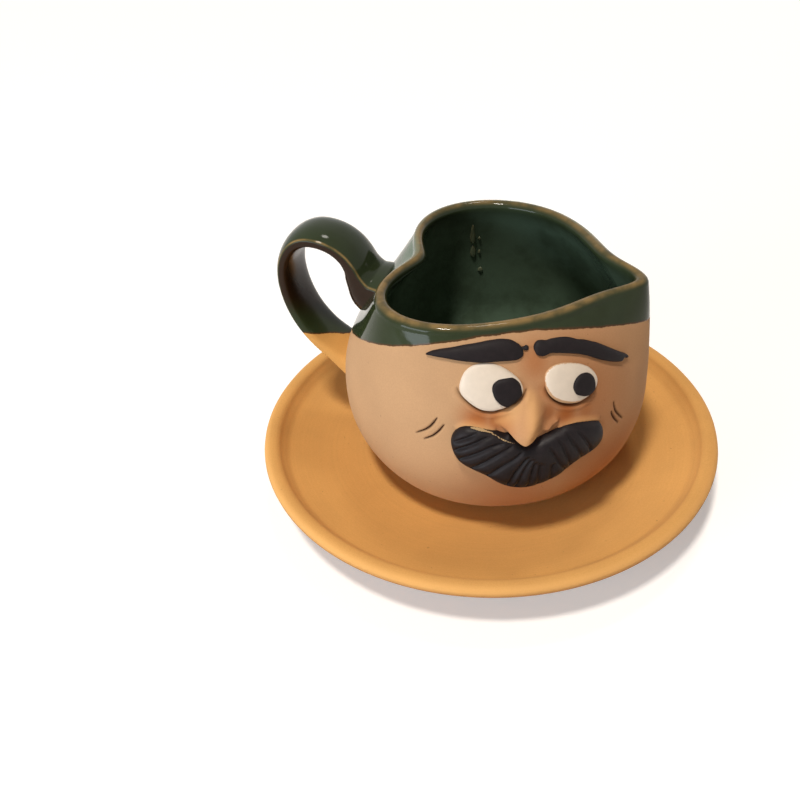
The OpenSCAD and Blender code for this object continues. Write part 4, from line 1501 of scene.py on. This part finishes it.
class CLAYCUP_OT_moustache(Operator):
    """Press on the moustache and comb it"""

    bl_idname = "claycup.moustache"
    bl_label = "Moustache"

    # The first grooves are combed deeper than the others: their number, and both as shares of the depth
    DEEP_GROOVES, DEEP_SHARE, SHALLOW_SHARE = 6, 1.15, 0.85

    def execute(self, context):
        wall = Wall()
        s = Millimetres(settings().face)
        pad = Pad(wall, sight_on_wall(wall, MOUSTACHE, 0.7), steps=300, rungs=96)
        grooves = [wall.flat(smooth_line(sight_on_wall(wall, line, 2.2), 3)) for line in COMBED]
        worn_and_lit_edge = wall.flat(smooth_line(sight_on_wall(wall, MOUSTACHE_WORN_AND_LIT[:6], 0.7), 4))
        front = sight_on_wall(wall, MOUSTACHE_WORN_AND_LIT[4:], (0.9, 1.2, 1.5, 1.8, 1.9, 1.9))
        worn_and_lit_front = wall.flat(smooth_line(front, 4))

        def height(tz):
            p = wall.flat(tz)
            cut = np.zeros(len(p))
            for number, groove in enumerate(grooves):
                gap, along = distance_to_line(p, groove)
                deep = self.DEEP_SHARE if number < self.DEEP_GROOVES else self.SHALLOW_SHARE
                shape = 0.7 * bell(gap, 0.34) + 0.3 * bell(gap, 0.9)
                cut = np.maximum(cut, deep * smooth_step(0, 0.22, along) * shape)
            return s.moustache * pad.dome(tz, 2.5) - s.comb * cut * smooth_step(0.3, 1.4, pad.depth(tz))

        def bare(tz):
            """Thin lines of clay show along the upper edge on the handle's side, and on the front: partly
            slip rubbed off, partly a painted highlight.
            """
            p = wall.flat(tz)
            gap, along = distance_to_line(p, worn_and_lit_edge)
            wide = 0.07 + 0.09 * bell(along - 0.4, 0.2)
            paler_tone = bell(pad.depth(tz) - 0.16, wide) * smooth_step(1.6, 1.0, gap)
            paler_tone *= smooth_step(0, 0.1, along) * smooth_step(0.9, 0.84, along)
            return np.maximum(0.85 * paler_tone, 0.66 * stroke(p, worn_and_lit_front, 0.16))

        black = black_slip("black_slip_moustache", 0.48)
        piece = pad.build("moustache_combed", height, black, {"bare": bare})
        hand_over(piece, "cup", "moustache")
        return {"FINISHED"}


class CLAYCUP_OT_stage(Operator):
    """Set the pale floor, the soft lamps and the photograph's camera"""

    bl_idname = "claycup.stage"
    bl_label = "Stage"

    def execute(self, context):
        self.floor()
        self.world()
        # Name, kind, turn and height of the direction it shines from, its distance in metres, and its colour
        skylight = self.lamp("skylight", "SUN", -105, 71, 1.0, (1.0, 0.93, 0.84))
        back_light = self.lamp("back_light", "SUN", 92, 69, 1.0, (1.0, 0.95, 0.88))
        window = self.lamp("window", "AREA", -122, 11, 0.6, (0.82, 0.91, 1.0))
        # Each sun's height, its share of the light that shows a level surface's colour as written, and its
        # softness
        for sun, height, share, soft in ((skylight, 71, 0.68, 8), (back_light, 69, 0.12, 9)):
            sun.energy = share * math.pi / sin(height)
            sun.angle = math.radians(soft)
        window.shape = "RECTANGLE"
        window.size, window.size_y = 0.37, 0.2
        window.energy = 2.05
        right, up, back = camera_axes()
        camera = new_object("camera", bpy.data.cameras.new("camera"))
        camera.data.sensor_fit = "HORIZONTAL"
        camera.data.sensor_width = SENSOR_WIDTH
        camera.data.lens = VIEW_FOCAL * SENSOR_WIDTH / FRAME_WIDTH
        camera.data.clip_start = 0.01
        eye = (VIEW_TARGET + back * VIEW_DISTANCE) * METRES
        rotation = Matrix(np.array([right, up, back]).T.tolist()).to_4x4()
        camera.matrix_world = Matrix.Translation(Vector(eye.tolist())) @ rotation
        context.scene.camera = camera
        context.scene.view_settings.view_transform = "Standard"
        return {"FINISHED"}

    @staticmethod
    def lamp(name, kind, turn, height, far, tint):
        """A lamp that shines at the middle of the cup."""
        lamp = new_object(name, bpy.data.lights.new(name, kind))
        lamp.data.color = tint
        way = Vector((cos(turn) * cos(height), sin(turn) * cos(height), sin(height)))
        turned = way.to_track_quat("Z", "Y").to_matrix().to_4x4()
        lamp.matrix_world = Matrix.Translation(Vector((0, 0, 0.03)) + way * far) @ turned
        return lamp.data

    @staticmethod
    def seen_plainly(node):
        """1 for what the camera sees, also in reflections and through glass, and 0 for all other light."""
        path = node("ShaderNodeLightPath").outputs
        seen = node("ShaderNodeMath", (path["Is Camera Ray"], path["Is Glossy Ray"]), operation="MAXIMUM")
        return node("ShaderNodeMath", (seen, path["Is Transmission Ray"]), operation="MAXIMUM")

    def floor(self):
        """A plain matt floor.

        To the camera and in reflections it glows a little, so that it reads as white and keeps the shadow.
        """
        # Half of its width
        half = 6.0
        corners = [(x * half, y * half, 0) for x, y in ((-1, -1), (1, -1), (1, 1), (-1, 1))]
        mesh = bpy.data.meshes.new("floor")
        mesh.from_pydata(corners, [], [(0, 1, 2, 3)])
        material, node = new_material("matt_floor")
        matt = node("ShaderNodeBsdfDiffuse", {"Color": (0.8, 0.8, 0.8, 1)})
        strength = node("ShaderNodeMath", (self.seen_plainly(node), 0.34), operation="MULTIPLY")
        glow = node("ShaderNodeEmission", {"Color": (1, 1, 1, 1), "Strength": strength})
        node("ShaderNodeOutputMaterial", [node("ShaderNodeAddShader", (matt, glow))])
        mesh.materials.append(material)
        new_object("floor", mesh)

    def world(self):
        """A soft warm light from all round, and a white backdrop."""
        world = bpy.data.worlds.new("studio")
        world.use_nodes = True
        world.node_tree.nodes.clear()
        node = partial(add_node, world.node_tree)
        light = node("ShaderNodeBackground", {"Color": (1, 0.8, 0.66, 1), "Strength": 0.14})
        backdrop = node("ShaderNodeBackground", {"Color": (1, 1, 1, 1), "Strength": 0.95})
        both = node("ShaderNodeMixShader", (self.seen_plainly(node), light, backdrop))
        node("ShaderNodeOutputWorld", [both])
        bpy.context.scene.world = world


class CLAYCUP_PT_panel(Panel):
    """Lists the cup's pieces and their sizes"""

    bl_idname = "CLAYCUP_PT_panel"
    bl_label = "Clay Cup"
    bl_space_type = "VIEW_3D"
    bl_region_type = "UI"
    bl_category = "Clay Cup"

    def draw(self, context):
        for operator in OPERATORS:
            self.layout.operator(operator.bl_idname)
        for part in ("cup", "handle", "face", "saucer", "finishes"):
            group = getattr(context.scene.clay_cup, part)
            box = self.layout.box()
            box.label(text=part.capitalize())
            for name in group.__annotations__:
                box.prop(group, name)


GROUPS = (CupSizes, HandleSizes, FaceSizes, SaucerSizes, Finishes, ClayCupSettings)
OPERATORS = (
    CLAYCUP_OT_saucer, CLAYCUP_OT_body, CLAYCUP_OT_drops, CLAYCUP_OT_handle, CLAYCUP_OT_eyes,
    CLAYCUP_OT_pupils, CLAYCUP_OT_brows, CLAYCUP_OT_nose, CLAYCUP_OT_moustache, CLAYCUP_OT_stage,
)
CLASSES = (*GROUPS, *OPERATORS, CLAYCUP_PT_panel)


def register():
    for kind in CLASSES:
        bpy.utils.register_class(kind)
    bpy.types.Scene.clay_cup = PointerProperty(type=ClayCupSettings)


def unregister():
    del bpy.types.Scene.clay_cup
    for kind in reversed(CLASSES):
        bpy.utils.unregister_class(kind)


def main():
    register()
    bpy.ops.claycup.saucer()
    bpy.ops.claycup.body()
    bpy.ops.claycup.drops()
    bpy.ops.claycup.handle()
    bpy.ops.claycup.eyes()
    bpy.ops.claycup.pupils()
    bpy.ops.claycup.brows()
    bpy.ops.claycup.nose()
    bpy.ops.claycup.moustache()
    bpy.ops.claycup.stage()


if __name__ == "__main__":
    main()
